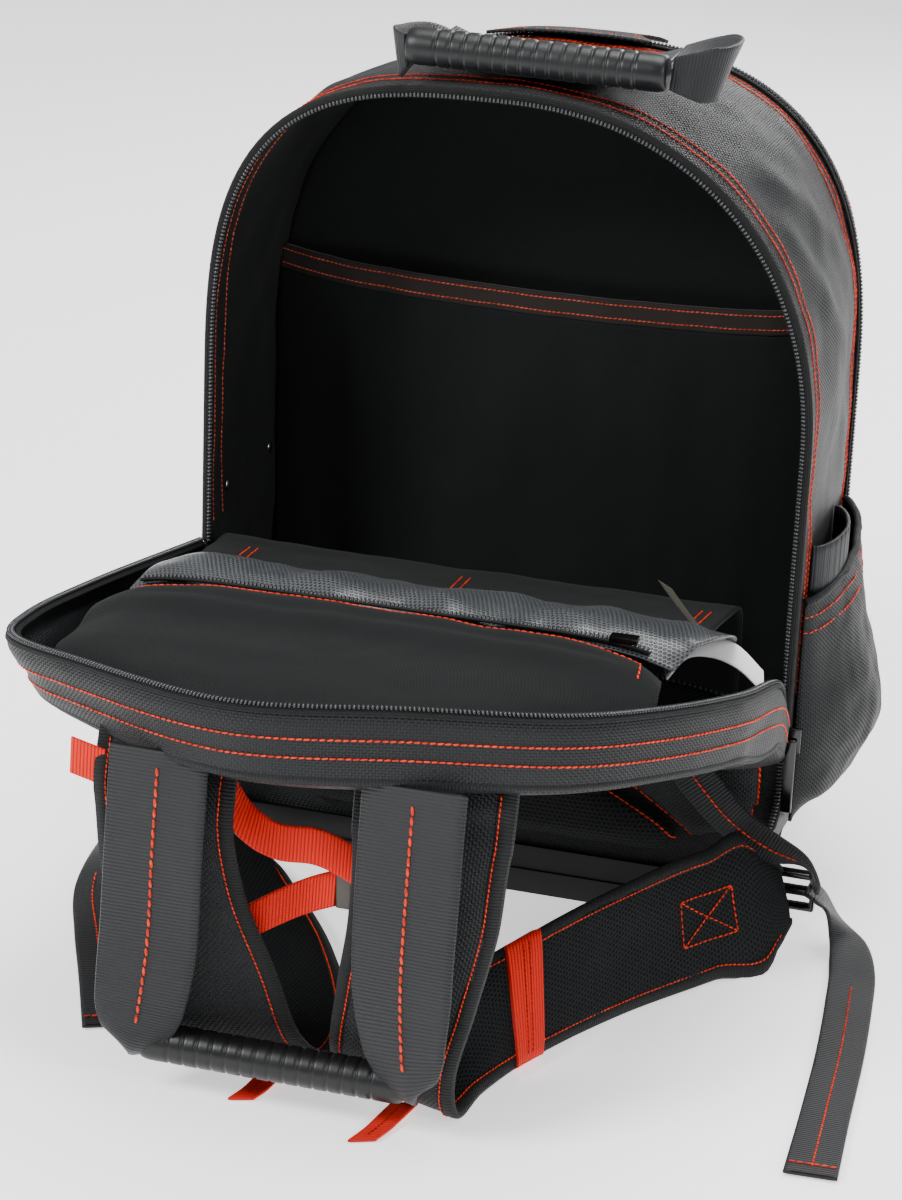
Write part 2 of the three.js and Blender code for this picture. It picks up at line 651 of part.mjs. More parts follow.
// Lower back: the padded face that stays upright below the fold
function lowerBack(grow = 0) {
  return insideSlab(0, BACK_PADDING + grow).intersect(foldPrism(grow, -BASE_WALL, 0, BACK_PADDING * 2));
}

// A padded shape laid on the near face: an outline in X and Z, domed towards the viewer
function nearPad(corners, padding, grow) {
  const count = corners.length;
  const middle = corners.reduce((sum, [x, z]) => [sum[0] + x / count, sum[1] + z / count], [0, 0]);
  const reach = Math.max(...corners.map(([x]) => Math.abs(x - middle[0])));
  const wider = 1 + (2 * grow) / reach;
  const ring = (share, y) => corners.map(([x, z]) => vec(
    mix(middle[0], x, share * wider),
    y,
    mix(middle[1], z, share * wider),
  ));
  const face = -SEAM_GAP;
  const full = padding + grow;
  return loft([
    ring(0.8, face - full),
    ring(0.95, face - full * 0.75),
    ring(1, face - full * 0.3),
    ring(1, face + grow),
  ]);
}
const LUMBAR_OUTLINE = table("across up", [
  [-0.32, 0.2],
  [0.3, 0.2],
  [0.335, 0.26],
  [0.165, 0.47],
  [0.155, 0.76],
  [-0.165, 0.84],
  [-0.175, 0.47],
  [-0.35, 0.26],
]);
const WING_OUTLINE = table("across up", [
  [0.357, 0.27],
  [0.45, 0.33],
  [0.465, 0.44],
  [0.465, 0.68],
  [0.175, 0.68],
  [0.18, 0.49],
]);
const padCorners = (rows, side) => rows.map((row) => [side * row.across * BODY_WIDTH, row.up * FOLD_LEFT]);
const lumbarPad = (grow = 0) => nearPad(padCorners(LUMBAR_OUTLINE, 1), LUMBAR_PADDING, grow);
const wingRight = (grow = 0) => nearPad(padCorners(WING_OUTLINE, 1), WING_PADDING, grow);
const wingLeft = (grow = 0) => nearPad(padCorners(WING_OUTLINE, -1), WING_PADDING, grow);

// Opened panel
function panelLoops() {
  const rim = new THREE.CatmullRomCurve3(PANEL_RIM.map((row) => place(row)), false, "centripetal");
  const shapes = PANEL_RIM.map((row) => vec(row.drop, row.flare, 0));
  const drops = new THREE.CatmullRomCurve3(shapes, false, "centripetal");
  const loop = [];
  for (let i = 0; i <= RIM_STEPS; i += 1) {
    const shape = drops.getPoint(i / RIM_STEPS);
    loop.push({ top: rim.getPoint(i / RIM_STEPS), drop: shape.x * PANEL_LEVEL, flare: 1 + shape.y });
  }
  const [start, end] = [loop[RIM_STEPS], loop[0]];
  for (let i = 1; i < HINGE_STEPS; i += 1) {
    const share = i / HINGE_STEPS;
    const top = start.top.clone().lerp(end.top, share);
    loop.push({ top, drop: mix(start.drop, end.drop, share), flare: 1 });
  }
  return loop;
}
function panelShell(grow = 0) {
  const loop = panelLoops();
  const middle = meanOf(loop.map((one) => one.top));
  const rows = PANEL_RINGS.map((ring) => loop.map((one) => {
    const outward = one.top.clone().sub(middle).setZ(0);
    const reach = mix(1, one.flare, ring.drop) * ring.inward;
    const side = outward.clone().normalize().multiplyScalar(ring.bulge * PANEL_PADDING);
    const level = mix(middle.z, one.top.z, ring.inward) - one.drop * ring.drop - ring.sink * PANEL_LEVEL;
    return vec(middle.x + outward.x * reach + side.x, middle.y + outward.y * reach + side.y, level);
  }));
  const open = sheet(rows, (i) => PANEL_WALL * PANEL_RINGS[i].thick, { loop: true, grow });
  const hub = meanOf(rows[rows.length - 1]);
  const plug = new THREE.CylinderGeometry(PANEL_PADDING, PANEL_PADDING, PANEL_PADDING * 0.8, 10);
  plug.rotateX(Math.PI / 2);
  plug.translate(hub.x, hub.y, hub.z);
  return open.add(solidOf(plug));
}
function panelZip(grow = 0) {
  const loop = panelLoops().slice(0, RIM_STEPS + 1);
  const middle = meanOf(loop.map((one) => one.top));
  const lift = 1.5 * SEAM_GAP + COIL_THICKNESS / 2;
  const side = (shift) => loop.map((one) => {
    const outward = one.top.clone().sub(middle).setZ(0).normalize();
    return one.top.clone().addScaledVector(outward, shift).add(vec(0, 0, lift));
  });
  return sheet([side(PANEL_WALL / 2), side(PANEL_WALL / 2 - COIL_WIDTH)], () => COIL_THICKNESS, { grow });
}

// A sheet spanned between a left and a right edge, row by row; dip lowers its two ends
function spread(rows, thickness, dip, { columns = 10, steps = rows.length * 2, grow = 0 } = {}) {
  const edges = ["left", "right"].map((edge) => new THREE.CatmullRomCurve3(
    rows.map((row) => place({ across: row[edge], out: row.out, up: row.up })), false, "centripetal",
  ));
  const grid = [];
  for (let i = 0; i <= steps; i += 1) {
    const [a, b] = edges.map((edge) => edge.getPoint(i / steps));
    const row = [];
    for (let j = 0; j <= columns; j += 1) {
      const share = j / columns;
      const end = Math.abs(2 * share - 1);
      row.push(a.clone().lerp(b, share).add(vec(0, 0, -dip * end ** 8)));
    }
    grid.push(row);
  }
  return sheet(grid, () => thickness, { grow });
}
function panelPocket(grow = 0) {
  return spread(PANEL_POCKET_ROWS, PANEL_CLOTH, PANEL_LEVEL * 0.07, { steps: 10, grow });
}
function meshPocket(grow = 0) {
  return spread(NET_ROWS, NET_THICKNESS, PANEL_LEVEL * 0.03, { columns: 8, steps: 6, grow });
}
function innerFlap(grow = 0) {
  return spread(FLAP_ROWS, PANEL_CLOTH, 0, { columns: 6, steps: 9, grow });
}

function pocketZip(grow = 0) {
  const rows = table("out up left right", [
  [0.515, 1.0, -0.45, 0.36],
  [0.535, 1.012, -0.45, 0.36],
]);
  return spread(rows, COIL_THICKNESS, PANEL_LEVEL * 0.02, { steps: 1, grow });
}

// Side pocket on the right, open at its top, and the two loops in its mouth
const SIDE_POCKET_ROWS = table("up bulge near far", [
  [0, -0.09, 0.12, 0.88],
  [0.14, 0.68, 0.09, 0.91],
  [0.42, 1, 0.06, 0.93],
  [0.72, 0.66, 0.06, 0.93],
  [1, 0.42, 0.06, 0.93],
]);
// Place of the bag's right wall at a depth
function rightWall(y) {
  const next = Math.max(1, REAR_SECTIONS.findIndex((section) => section.along * REAR_DEPTH >= y));
  const [near, far] = [REAR_SECTIONS[next - 1], REAR_SECTIONS[next]];
  const share = (y / REAR_DEPTH - near.along) / (far.along - near.along);
  return (BODY_WIDTH * mix(near.width, far.width, share)) / 2;
}
function sidePocket(grow = 0) {
  const columns = 10;
  const grid = [];
  for (const part of SIDE_POCKET_ROWS) {
    const row = [];
    for (let j = 0; j <= columns; j += 1) {
      const share = j / columns;
      const round = Math.sin(Math.PI * share) ** 0.6;
      const y = REAR_DEPTH * mix(part.near, part.far, share);
      const lift = part.up * share * SIDE_POCKET_TOP * 0.1;
      const z = mix(SIDE_POCKET_FOOT, SIDE_POCKET_TOP, part.up) + lift;
      const face = rightWall(y) + SEAM_GAP + POCKET_CLOTH / 2;
      row.push(vec(face + SIDE_POCKET_BULGE * part.bulge * round, y, z));
    }
    grid.push(row);
  }
  return sheet(grid, () => POCKET_CLOTH, { grow });
}
function sideLoop(low, grow = 0) {
  const grid = [0, 1].map((row) => [0, 0.2, 0.5, 0.8, 1].map((share) => {
    const bow = LOOP_BOW * Math.sin(Math.PI * share) ** 0.5;
    const y = REAR_DEPTH * mix(0.12, 0.62, share);
    return vec(rightWall(y) + SEAM_GAP + WEB_THICKNESS / 2 + bow, y, low + row * LOOP_WIDTH);
  }));
  return sheet(grid, () => WEB_THICKNESS, { grow });
}

// Rivets through the left wall: a head on each side of the cloth, on a thin shank
const RIVET_PLACES = { rivet_upper: { along: 0.72, up: 0.448 }, rivet_lower: { along: 0.23, up: 0.446 } };
const RIVET_PROFILE = table("radius out", [
  [0, 1],
  [0.6, 0.9],
  [1, 0],
  [0.4, 0],
]);
function rivet(at, grow = 0) {
  const height = at.up * BODY_HEIGHT;
  const wallFace = bodyWall().intersect(block(
    vec(-BODY_WIDTH, at.along * REAR_DEPTH - 1, height - 1),
    vec(0, at.along * REAR_DEPTH + 1, height + 1),
  )).boundingBox();
  const middle = (wallFace.min[0] + wallFace.max[0]) / 2;
  const seat = (wallFace.max[0] - wallFace.min[0]) / 2 + SEAM_GAP;
  const half = RIVET_PROFILE.map((row) => new THREE.Vector2(
    row.radius * RIVET_RADIUS + (row.radius > 0 ? grow : 0),
    seat + row.out * RIVET_DOME,
  ));
  const lower = half.map((point) => new THREE.Vector2(point.x, -point.y));
  const body = new THREE.LatheGeometry([...lower, ...half.reverse()], 10);
  body.rotateZ(-Math.PI / 2);
  body.translate(middle, at.along * REAR_DEPTH, height);
  return solidOf(body);
}
function rivetHoles() {
  return Object.values(RIVET_PLACES).map((at) => {
    const radius = RIVET_RADIUS * 0.4 + SEAM_GAP;
    const hole = new THREE.CylinderGeometry(radius, radius, BODY_WIDTH, 10);
    hole.rotateZ(Math.PI / 2);
    hole.translate(-BODY_WIDTH / 2 - BODY_WIDTH * 0.1, at.along * REAR_DEPTH, at.up * BODY_HEIGHT);
    return solidOf(hole);
  });
}

// Top handle: the grip in front of the arch, and the webbing that lies on top and turns round into it
const TOP_WEB_RUN = table(RUN, [
  [-0.16, -0.22, 1.03, 0.9, 90, 0],
  [-0.07, -0.24, 1.005, 0.95, 90, 0],
  [0.02, -0.24, 1.003, 0.95, 90, 0],
  [0.1, -0.24, 1.005, 0.95, 90, 0],
  [0.22, -0.22, 1.03, 0.9, 90, 0],
]);
const TOP_WEB_LEFT_RUN = table(RUN, [
  [-0.16, -0.2, 1.027, 0.6, 90, 6],
  [-0.188, -0.17, 1.026, 0.5, 96, 34],
  [-0.202, -0.06, 1.024, 0.48, 130, 66],
  [-0.2, 0.06, 1.024, 0.5, 160, 80],
  [-0.181, 0.1, 1.03, 0.35, 160, 84],
]);
const TOP_WEB_RIGHT_RUN = table(RUN, [
  [0.223, -0.21, 1.031, 0.92, 90, 4],
  [0.28, -0.19, 1.034, 0.85, 84, 24],
  [0.315, -0.1, 1.034, 0.68, 50, 58],
  [0.317, 0.03, 1.034, 0.6, 20, 76],
  [0.285, 0.095, 1.034, 0.52, 10, 82],
  [0.245, 0.1, 1.034, 0.35, 10, 84],
]);
const TOP_GRIP_MIDDLE = vec(BODY_WIDTH * 0.031, -REAR_DEPTH * 0.1, BODY_HEIGHT * 1.035);
const LOWER_GRIP_MIDDLE = vec(-BODY_WIDTH * 0.091, -PANEL_REACH * 0.945, GRIP_RADIUS * 2.7);
const topGrip = (grow = 0) => grip(TOP_GRIP_MIDDLE, TOP_GRIP_LENGTH, 0.012, grow);
const lowerGrip = (grow = 0) => grip(LOWER_GRIP_MIDDLE, GRIP_LENGTH, 0, grow);

// Sizes of each kind of webbing
const PADDED_STRAP = { width: STRAP_WIDTH, thickness: STRAP_PADDING };
const HANDLE_WEB = { width: HANDLE_WEB_WIDTH, thickness: WEB_THICKNESS };
const TAIL_WEB = { width: TAIL_WEB_WIDTH, thickness: WEB_THICKNESS };
const RED_WEB = { width: RED_WEB_WIDTH, thickness: RED_WEB_THICKNESS };
const LABEL_TAPE = { width: LABEL_WIDTH, thickness: LABEL_THICKNESS };
const shoulderStrap = (rows) => (grow = 0) => (
  strap(rows, PADDED_STRAP, { steps: 20, edge: PADDED_EDGE, grow })
);
const handleWeb = (rows) => (grow = 0) => strap(rows, HANDLE_WEB, { steps: 14, edge: [1, 1, 1], grow });
const tailWeb = (rows, steps) => (grow = 0) => strap(rows, TAIL_WEB, { steps, grow });
const redWeb = (rows, steps) => (grow = 0) => strap(rows, RED_WEB, { steps, grow });
const labelTape = (rows) => (grow = 0) => strap(rows, LABEL_TAPE, { steps: 8, grow });
const topWeb = (rows, steps) => (grow = 0) => strap(rows, HANDLE_WEB, { steps, grow, frame: TOP_FRAME });
const strapLeft = shoulderStrap(STRAP_LEFT_RUN);
const strapRight = shoulderStrap(STRAP_RIGHT_RUN);

// Red band sewn round the returning half of the right strap
function strapBand(grow = 0) {
  const from = place({ across: 0.04, out: 0.36, up: 0 });
  const to = place({ across: 0.37, out: 0.82, up: 0 });
  const along = to.clone().sub(from).normalize();
  const aside = vec(-along.y, along.x, 0).multiplyScalar(RED_WEB_WIDTH / 2 + grow);
  const corners = [
    from.clone().add(aside),
    to.clone().add(aside),
    to.clone().sub(aside),
    from.clone().sub(aside),
  ];
  const keep = prism(corners.map((point) => [point.x, point.y]), "z", SEAM_GAP, PANEL_LEVEL / 2);
  return strapRight(SEAM_GAP + RED_WEB_THICKNESS + grow).subtract(strapRight(SEAM_GAP)).intersect(keep);
}

// A small piece laid on the highest point of a carrier near a place
function seatHeight(carrier, x, y) {
  const probe = block(vec(x - 1, y - 1, 0), vec(x + 1, y + 1, BODY_HEIGHT * 2));
  return carrier.intersect(probe).boundingBox().max[2];
}

// Flap over the top of the front zip, notched at each end, and the two sliders behind it
const FLAP_ENDS = { left: -0.165, right: 0.12, near: 0.86, far: 1.16, notch: 0.035 };
const flapLift = COIL_THICKNESS + 2 * SEAM_GAP;
function topFlap(grow = 0) {
  const { left, right, near, far, notch } = FLAP_ENDS;
  const waist = (near + far) / 2;
  const corners = [
    [left, near], [right, near], [right - notch, waist], [right, far], [left, far], [left + notch, waist],
  ];
  const edge = corners.map(([x, y]) => [x * BODY_WIDTH, y * REAR_DEPTH]);
  const keep = prism(edge, "z", BODY_HEIGHT / 2, BODY_HEIGHT * 2);
  return wholeBag(flapLift + POCKET_CLOTH + grow).subtract(wholeBag(flapLift)).intersect(keep);
}
function topSlider(across) {
  const x = across * BODY_WIDTH;
  const y = FLAP_ENDS.far * REAR_DEPTH + SLIDER_LENGTH / 2 + SEAM_GAP;
  const z = seatHeight(wholeBag(SEAM_GAP), x, y - SLIDER_LENGTH / 2);
  return block(
    vec(x - PULLER_WIDTH / 2, y - SLIDER_LENGTH / 2, z),
    vec(x + PULLER_WIDTH / 2, y + SLIDER_LENGTH / 2, z + PULLER_WIDTH / 2),
  );
}

// Slider and hanging puller at the lower end of the open zip, and the slider of the pocket inside the panel
const sliderPlace = vec(
  (BODY_WIDTH + COIL_WIDTH) / 2,
  -2 * SEAM_GAP - COIL_THICKNESS,
  foldHeight(BODY_WIDTH / 2),
);
function rimSlider(grow = 0) {
  const half = COIL_WIDTH * 0.9 + grow;
  const top = sliderPlace.z - SLIDER_DROP;
  return block(
    vec(sliderPlace.x - half, sliderPlace.y - COIL_THICKNESS - grow, top - SLIDER_LENGTH),
    vec(sliderPlace.x + half, sliderPlace.y + grow, top),
  );
}
function rimPuller() {
  const face = sliderPlace.y - COIL_THICKNESS - SEAM_GAP;
  const high = sliderPlace.z - SLIDER_LENGTH * 0.6;
  return block(
    vec(sliderPlace.x - PULLER_WIDTH / 2, face - PULLER_THICKNESS, high - PULLER_LENGTH),
    vec(sliderPlace.x + PULLER_WIDTH / 2, face, high),
  );
}
function pocketSlider() {
  const at = place({ across: 0.32, out: 0.525, up: 1 });
  const seat = seatHeight(pocketZip(SEAM_GAP), at.x, at.y);
  return block(
    vec(at.x - SLIDER_LENGTH / 2, at.y - COIL_WIDTH * 0.6, seat),
    vec(at.x + SLIDER_LENGTH / 2, at.y + COIL_WIDTH * 0.6, seat + COIL_THICKNESS),
  );
}

// Ladder lock at the end of each shoulder strap: a frame with two slots; across is a share of the bag's width
function ladderLock(across, grow = 0) {
  const at = place({ across, out: 0.04, up: 0.145 });
  const half = vec(LOCK_WIDTH / 2, LOCK_THICKNESS / 2, LOCK_LENGTH / 2);
  const frame = block(at.clone().sub(half).subScalar(grow), at.clone().add(half).addScalar(grow));
  if (grow > 0) return frame;
  const slot = (low, high) => block(
    vec(at.x - TAIL_WEB_WIDTH / 2, at.y - LOCK_THICKNESS, at.z + low * LOCK_LENGTH),
    vec(at.x + TAIL_WEB_WIDTH / 2, at.y + LOCK_THICKNESS, at.z + high * LOCK_LENGTH),
  );
  return frame.subtract(slot(-0.34, -0.1)).subtract(slot(0.1, 0.34));
}

// Clip where the two chest straps meet
function chestClip(grow = 0) {
  const at = place(CHEST_LOWER_RUN[CHEST_LOWER_RUN.length - 1]);
  const half = vec(CLIP_LENGTH / 2, CLIP_THICKNESS / 2, CLIP_WIDTH / 2).addScalar(grow);
  at.x += CLIP_LENGTH / 2;
  return block(at.clone().sub(half), at.clone().add(half));
}

const lockRight = (grow = 0) => ladderLock(LOCK_RIGHT, grow);
const lockLeft = (grow = 0) => ladderLock(LOCK_LEFT, grow);
const webRight = tailWeb(LOWER_WEB_RIGHT_RUN, 16);
const webLeft = tailWeb(LOWER_WEB_LEFT_RUN, 12);
const webOver = topWeb(TOP_WEB_RUN, 8);
const panelLining = [meshPocket, innerFlap, panelShell, panelPocket];

// Each piece: its look, its solid, and the neighbours that it is cut clear of by the seam gap
const PIECES = {
  body_wall: {
    look: "shell",
    make: () => rivetHoles().reduce((wall, hole) => wall.subtract(hole), bodyWall()),
  },
  front_case: { look: "shell", make: frontCase },
  base_tray: { look: "moulded", make: baseTray },
  divider: { look: "lining", make: divider },
  tablet_pocket: { look: "lining", make: tabletPocket },
  pocket_hem: { look: "binding", make: pocketHem },
  rim_zip: { look: "coil", make: rimZip },
  closed_zip_right: { look: "coil", make: () => closedCoil(1) },
  closed_zip_left: { look: "coil", make: () => closedCoil(-1) },
  front_zip: { look: "coil", make: frontZip },
  rivet_upper: { look: "metal", make: () => rivet(RIVET_PLACES.rivet_upper) },
  rivet_lower: { look: "metal", make: () => rivet(RIVET_PLACES.rivet_lower) },
  side_pocket: { look: "shell", make: sidePocket, clear: [wholeBag] },
  side_loop_upper: {
    look: "webbing",
    make: () => sideLoop(SIDE_POCKET_TOP + LOOP_WIDTH * 0.12),
    clear: [wholeBag, sidePocket],
  },
  side_loop_lower: {
    look: "webbing",
    make: () => sideLoop(SIDE_POCKET_TOP - LOOP_WIDTH * 1.05),
    clear: [wholeBag, sidePocket],
  },
  lower_back: { look: "lining", make: lowerBack },
  panel_shell: { look: "shell", make: panelShell, clear: [rimCoil] },
  lumbar_pad: { look: "mesh", make: lumbarPad, clear: [panelShell, wingRight, wingLeft] },
  corner_wing_right: { look: "shell", make: wingRight, clear: [panelShell, webRight] },
  corner_wing_left: { look: "shell", make: wingLeft, clear: [panelShell, webLeft] },
  panel_zip: { look: "coil", make: panelZip, clear: [panelShell, rimCoil] },
  panel_pocket: { look: "lining", make: panelPocket, clear: [panelShell, panelZip] },
  pocket_zip: { look: "coil", make: pocketZip, clear: [panelPocket] },
  pocket_slider: { look: "plastic", make: pocketSlider, clear: [panelPocket, pocketZip] },
  mesh_pocket: { look: "net", make: meshPocket, clear: [panelPocket, pocketZip, panelShell] },
  inner_flap: { look: "lining", make: innerFlap, clear: [meshPocket, panelShell, lowerBack] },
  care_label: { look: "label", make: labelTape(LABEL_RUN), clear: [...panelLining, panelZip] },
  pull_ribbon: { look: "ribbon", make: labelTape(RIBBON_RUN), clear: panelLining },
  rim_slider: { look: "plastic", make: rimSlider, clear: [panelShell] },
  rim_puller: { look: "plastic", make: rimPuller, clear: [panelShell] },
  top_grip: { look: "rubber", make: topGrip },
  top_web: { look: "webbing", make: webOver, clear: [wholeBag, topGrip] },
  top_web_left: {
    look: "webbing",
    make: topWeb(TOP_WEB_LEFT_RUN, 14),
    clear: [wholeBag, topGrip, webOver],
  },
  top_web_right: {
    look: "webbing",
    make: topWeb(TOP_WEB_RIGHT_RUN, 14),
    clear: [wholeBag, topGrip, webOver],
  },
  top_flap: { look: "shell", make: topFlap, clear: [frontZip] },
  top_slider_left: { look: "plastic", make: () => topSlider(-0.045) },
  top_slider_right: { look: "plastic", make: () => topSlider(0.005) },
  shoulder_strap_left: { look: "shell", make: strapLeft, clear: [panelShell] },
  shoulder_strap_right: { look: "shell", make: strapRight, clear: [panelShell] },
  lower_grip: { look: "rubber", make: lowerGrip, clear: [strapLeft, strapRight] },
  handle_web_left: {
    look: "webbing",
    make: handleWeb(HANDLE_WEB_LEFT_RUN),
    clear: [panelShell, strapLeft, lowerGrip],
  },
  handle_web_right: {
    look: "webbing",
    make: handleWeb(HANDLE_WEB_RIGHT_RUN),
    clear: [panelShell, strapRight, lowerGrip],
  },
  strap_band: { look: "red", make: strapBand },
  chest_clip: { look: "grey", make: chestClip },
  chest_strap_upper: {
    look: "red",
    make: redWeb(CHEST_UPPER_RUN, 14),
    clear: [strapLeft, strapRight, chestClip],
  },
  chest_strap_lower: {
    look: "red",
    make: redWeb(CHEST_LOWER_RUN, 10),
    clear: [strapLeft, strapRight, chestClip],
  },
  red_tab_side: { look: "red", make: redWeb(TAB_UPPER_LEFT_RUN, 3), clear: [strapLeft, panelShell] },
  red_tab_left: { look: "red", make: redWeb(TAB_FLOOR_LEFT_RUN, 6), clear: [strapLeft, lowerGrip] },
  red_tab_right: { look: "red", make: redWeb(TAB_FLOOR_RIGHT_RUN, 6), clear: [strapRight, lowerGrip] },
  ladder_lock_right: { look: "plastic", make: lockRight, clear: [strapRight] },
  ladder_lock_left: { look: "plastic", make: lockLeft, clear: [strapLeft] },
  lower_web_right: { look: "webbing", make: webRight, clear: [strapRight, panelShell, lockRight] },
  lower_web_left: { look: "webbing", make: webLeft, clear: [strapLeft, panelShell, lockLeft] },
  tail_right: {
    look: "webbing",
    make: tailWeb(TAIL_RIGHT_RUN, 20),
    clear: [strapRight, webRight, lockRight],
  },
  tail_left: { look: "webbing", make: tailWeb(TAIL_LEFT_RUN, 18), clear: [strapLeft, webLeft, lockLeft] },
};

const grownSolids = new Map();
function grownSolid(make) {
  if (!grownSolids.has(make)) grownSolids.set(make, make(SEAM_GAP));
  return grownSolids.get(make);
}

const backpack = new THREE.Group();
for (const [name, { look, make, clear = [] }] of Object.entries(PIECES)) {
  const solid = clear.reduce((piece, neighbour) => piece.subtract(grownSolid(neighbour)), make());
  const mesh = new THREE.Mesh(geometryOf(largest(solid)), new THREE.MeshStandardMaterial(COLOURS[look]));
  mesh.name = name;
  backpack.add(mesh);
}

// The origin is on the ground, under the middle of the whole
const bounds = new THREE.Box3().setFromObject(backpack);
backpack.position.set(-(bounds.min.x + bounds.max.x) / 2, -(bounds.min.y + bounds.max.y) / 2, -bounds.min.z);

export default backpack;
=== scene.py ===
# The looks of a tool backpack that stands with its back panel unzipped and folded down.
import math
import random

import bmesh
import bpy
import numpy
from mathutils import Matrix, Vector, noise
from mathutils.bvhtree import BVHTree


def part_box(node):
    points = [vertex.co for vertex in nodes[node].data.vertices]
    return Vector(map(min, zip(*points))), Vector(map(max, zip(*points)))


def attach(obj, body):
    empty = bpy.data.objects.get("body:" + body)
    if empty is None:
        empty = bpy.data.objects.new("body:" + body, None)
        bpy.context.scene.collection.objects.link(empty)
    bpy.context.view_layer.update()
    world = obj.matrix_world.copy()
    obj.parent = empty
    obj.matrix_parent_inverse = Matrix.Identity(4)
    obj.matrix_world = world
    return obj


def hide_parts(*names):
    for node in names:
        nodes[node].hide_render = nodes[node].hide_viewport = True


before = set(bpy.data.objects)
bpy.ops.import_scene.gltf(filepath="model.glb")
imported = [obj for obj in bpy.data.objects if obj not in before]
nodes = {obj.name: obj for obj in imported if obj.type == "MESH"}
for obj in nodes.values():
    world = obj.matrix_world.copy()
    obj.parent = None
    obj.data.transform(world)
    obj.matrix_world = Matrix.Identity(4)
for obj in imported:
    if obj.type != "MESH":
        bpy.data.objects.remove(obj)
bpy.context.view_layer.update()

# Sizes of the bag in millimetres
MM = 0.001
BODY_WIDTH = 352
BODY_HEIGHT = 490
SHOULDER_HEIGHT = 292
REAR_DEPTH = 150
FRONT_DEPTH = 62
WALL = 3
SIDE_SWELL = 8
SEAM_GAP = 0.4
BASE_WALL = 3
DIVIDER_PLACE = REAR_DEPTH * 0.813
DIVIDER_WALL = 3.2
POCKET_HEIGHT = 350
POCKET_BULGE = 16
HEM_HEIGHT = 14
HEM_THICKNESS = 3.4
FOLD_LEFT = 190
FOLD_RIGHT = 135
PANEL_REACH = 320
PANEL_LEVEL = 236
STRAP_WIDTH = 74
STRAP_PADDING = 8
HANDLE_WEB_WIDTH = 53
TAIL_WEB_WIDTH = 27
RED_WEB_WIDTH = 20
GRIP_RADIUS = 10.5
GRIP_LENGTH = BODY_WIDTH * 0.409
TOP_GRIP_LENGTH = BODY_WIDTH * 0.415
SIDE_POCKET_BULGE = 37
SIDE_POCKET_TOP = 204
SIDE_POCKET_FOOT = 62
LOOP_WIDTH = 28
LABEL_WIDTH = 15
FOOT_UPRIGHT = 1.3

# Thicknesses of the cloths in millimetres
POCKET_CLOTH = 2
PANEL_CLOTH = 2.2
PANEL_WALL = 3
NET_THICKNESS = 1.2
LOWER_BACK_THICKNESS = 7.4
ZIP_TAPE = 1.4
RIM_TAPE = 1.6

# Places of the rows of stitches in millimetres: depths in the bag, then distances below the panel's zip
RIM_ROWS = (11, 18)
REAR_ZIP_ROWS = (131, 138)
FRONT_ZIP_ROWS = (162.5, 169)
FACING_ROWS = (9, 26)
GUSSET_ROWS = (12.5, 22.5)

# Sizes of the sewn details in millimetres
STITCH_PITCH = 3.4
STITCH_LENGTH = 3.1
STITCH_RADIUS = 0.5
TOOTH_PITCH = 2.3
TOOTH_HEIGHT = 2.5
WEB_RIB = 2.0
FLOOR_GAP = 0.3
GRIP_GROOVE_PITCH = 8
WEB_CURL = 0.35

# along, width, top, apex, left, right, footLeft, footRight, rise
REAR_SECTIONS = [
    (0, 1, 0.986, -0.028, 3.15, 2.2, 0.13, 0.2, 0),
    (0.13, 1.004, 0.992, -0.026, 3, 2.25, 0.13, 0.19, 0),
    (0.4, 1.01, 1, -0.02, 2.8, 2.4, 0.13, 0.17, 0),
    (0.72, 1, 0.998, -0.008, 2.55, 2.6, 0.15, 0.18, 0),
    (1, 0.985, 0.99, 0, 2.4, 2.75, 0.17, 0.19, 0),
]
# along, width, top, apex, left, right, footLeft, footRight, rise
FRONT_SECTIONS = [
    (0, 0.985, 0.99, 0, 2.4, 2.75, 0.17, 0.19, 0),
    (0.35, 0.97, 0.98, 0, 2.4, 2.85, 0.18, 0.2, 0),
    (0.72, 0.93, 0.952, 0, 2.4, 2.8, 0.2, 0.21, 0.004),
    (0.93, 0.86, 0.915, 0, 2.4, 2.6, 0.2, 0.2, 0.02),
    (1, 0.79, 0.878, 0, 2.4, 2.5, 0.2, 0.2, 0.05),
]
# across, out, up, drop, flare
PANEL_RIM = [
    (0.49, 0.014, 0.6, 0.13, 0),
    (0.507, 0.22, 0.775, 0.15, 0),
    (0.487, 0.41, 0.84, 0.15, 0),
    (0.409, 0.64, 0.911, 0.145, 0.015),
    (0.3, 0.82, 0.966, 0.15, 0.015),
    (0.091, 0.95, 1.004, 0.155, 0.01),
    (-0.148, 0.99, 0.987, 0.15, 0.005),
    (-0.432, 0.853, 0.945, 0.14, -0.04),
    (-0.594, 0.722, 0.907, 0.12, -0.08),
    (-0.614, 0.594, 0.89, 0.11, -0.09),
    (-0.59, 0.36, 0.86, 0.09, -0.04),
    (-0.522, 0.014, 0.82, 0.06, 0),
]
# drop, bulge, inward, sink
PANEL_RINGS = [
    (0, 0, 1, 0),
    (0.35, 3, 1, 0),
    (0.8, 2.5, 1, 0),
    (1, -1, 0.985, 0.01),
    (1, -3, 0.9, 0.03),
    (1, 0, 0.62, 0.045),
    (1, 0, 0.3, 0.045),
    (1, 0, 0.02, 0.045),
]
# out, up, left, right
PANEL_POCKET_ROWS = [
    (0.535, 0.96, -0.49, 0.375),
    (0.555, 1.005, -0.492, 0.382),
    (0.585, 1.02, -0.497, 0.39),
    (0.62, 1.015, -0.503, 0.395),
    (0.66, 0.99, -0.51, 0.395),
    (0.75, 0.975, -0.51, 0.325),
    (0.85, 0.955, -0.39, 0.2),
    (0.925, 0.915, -0.25, 0.09),
]
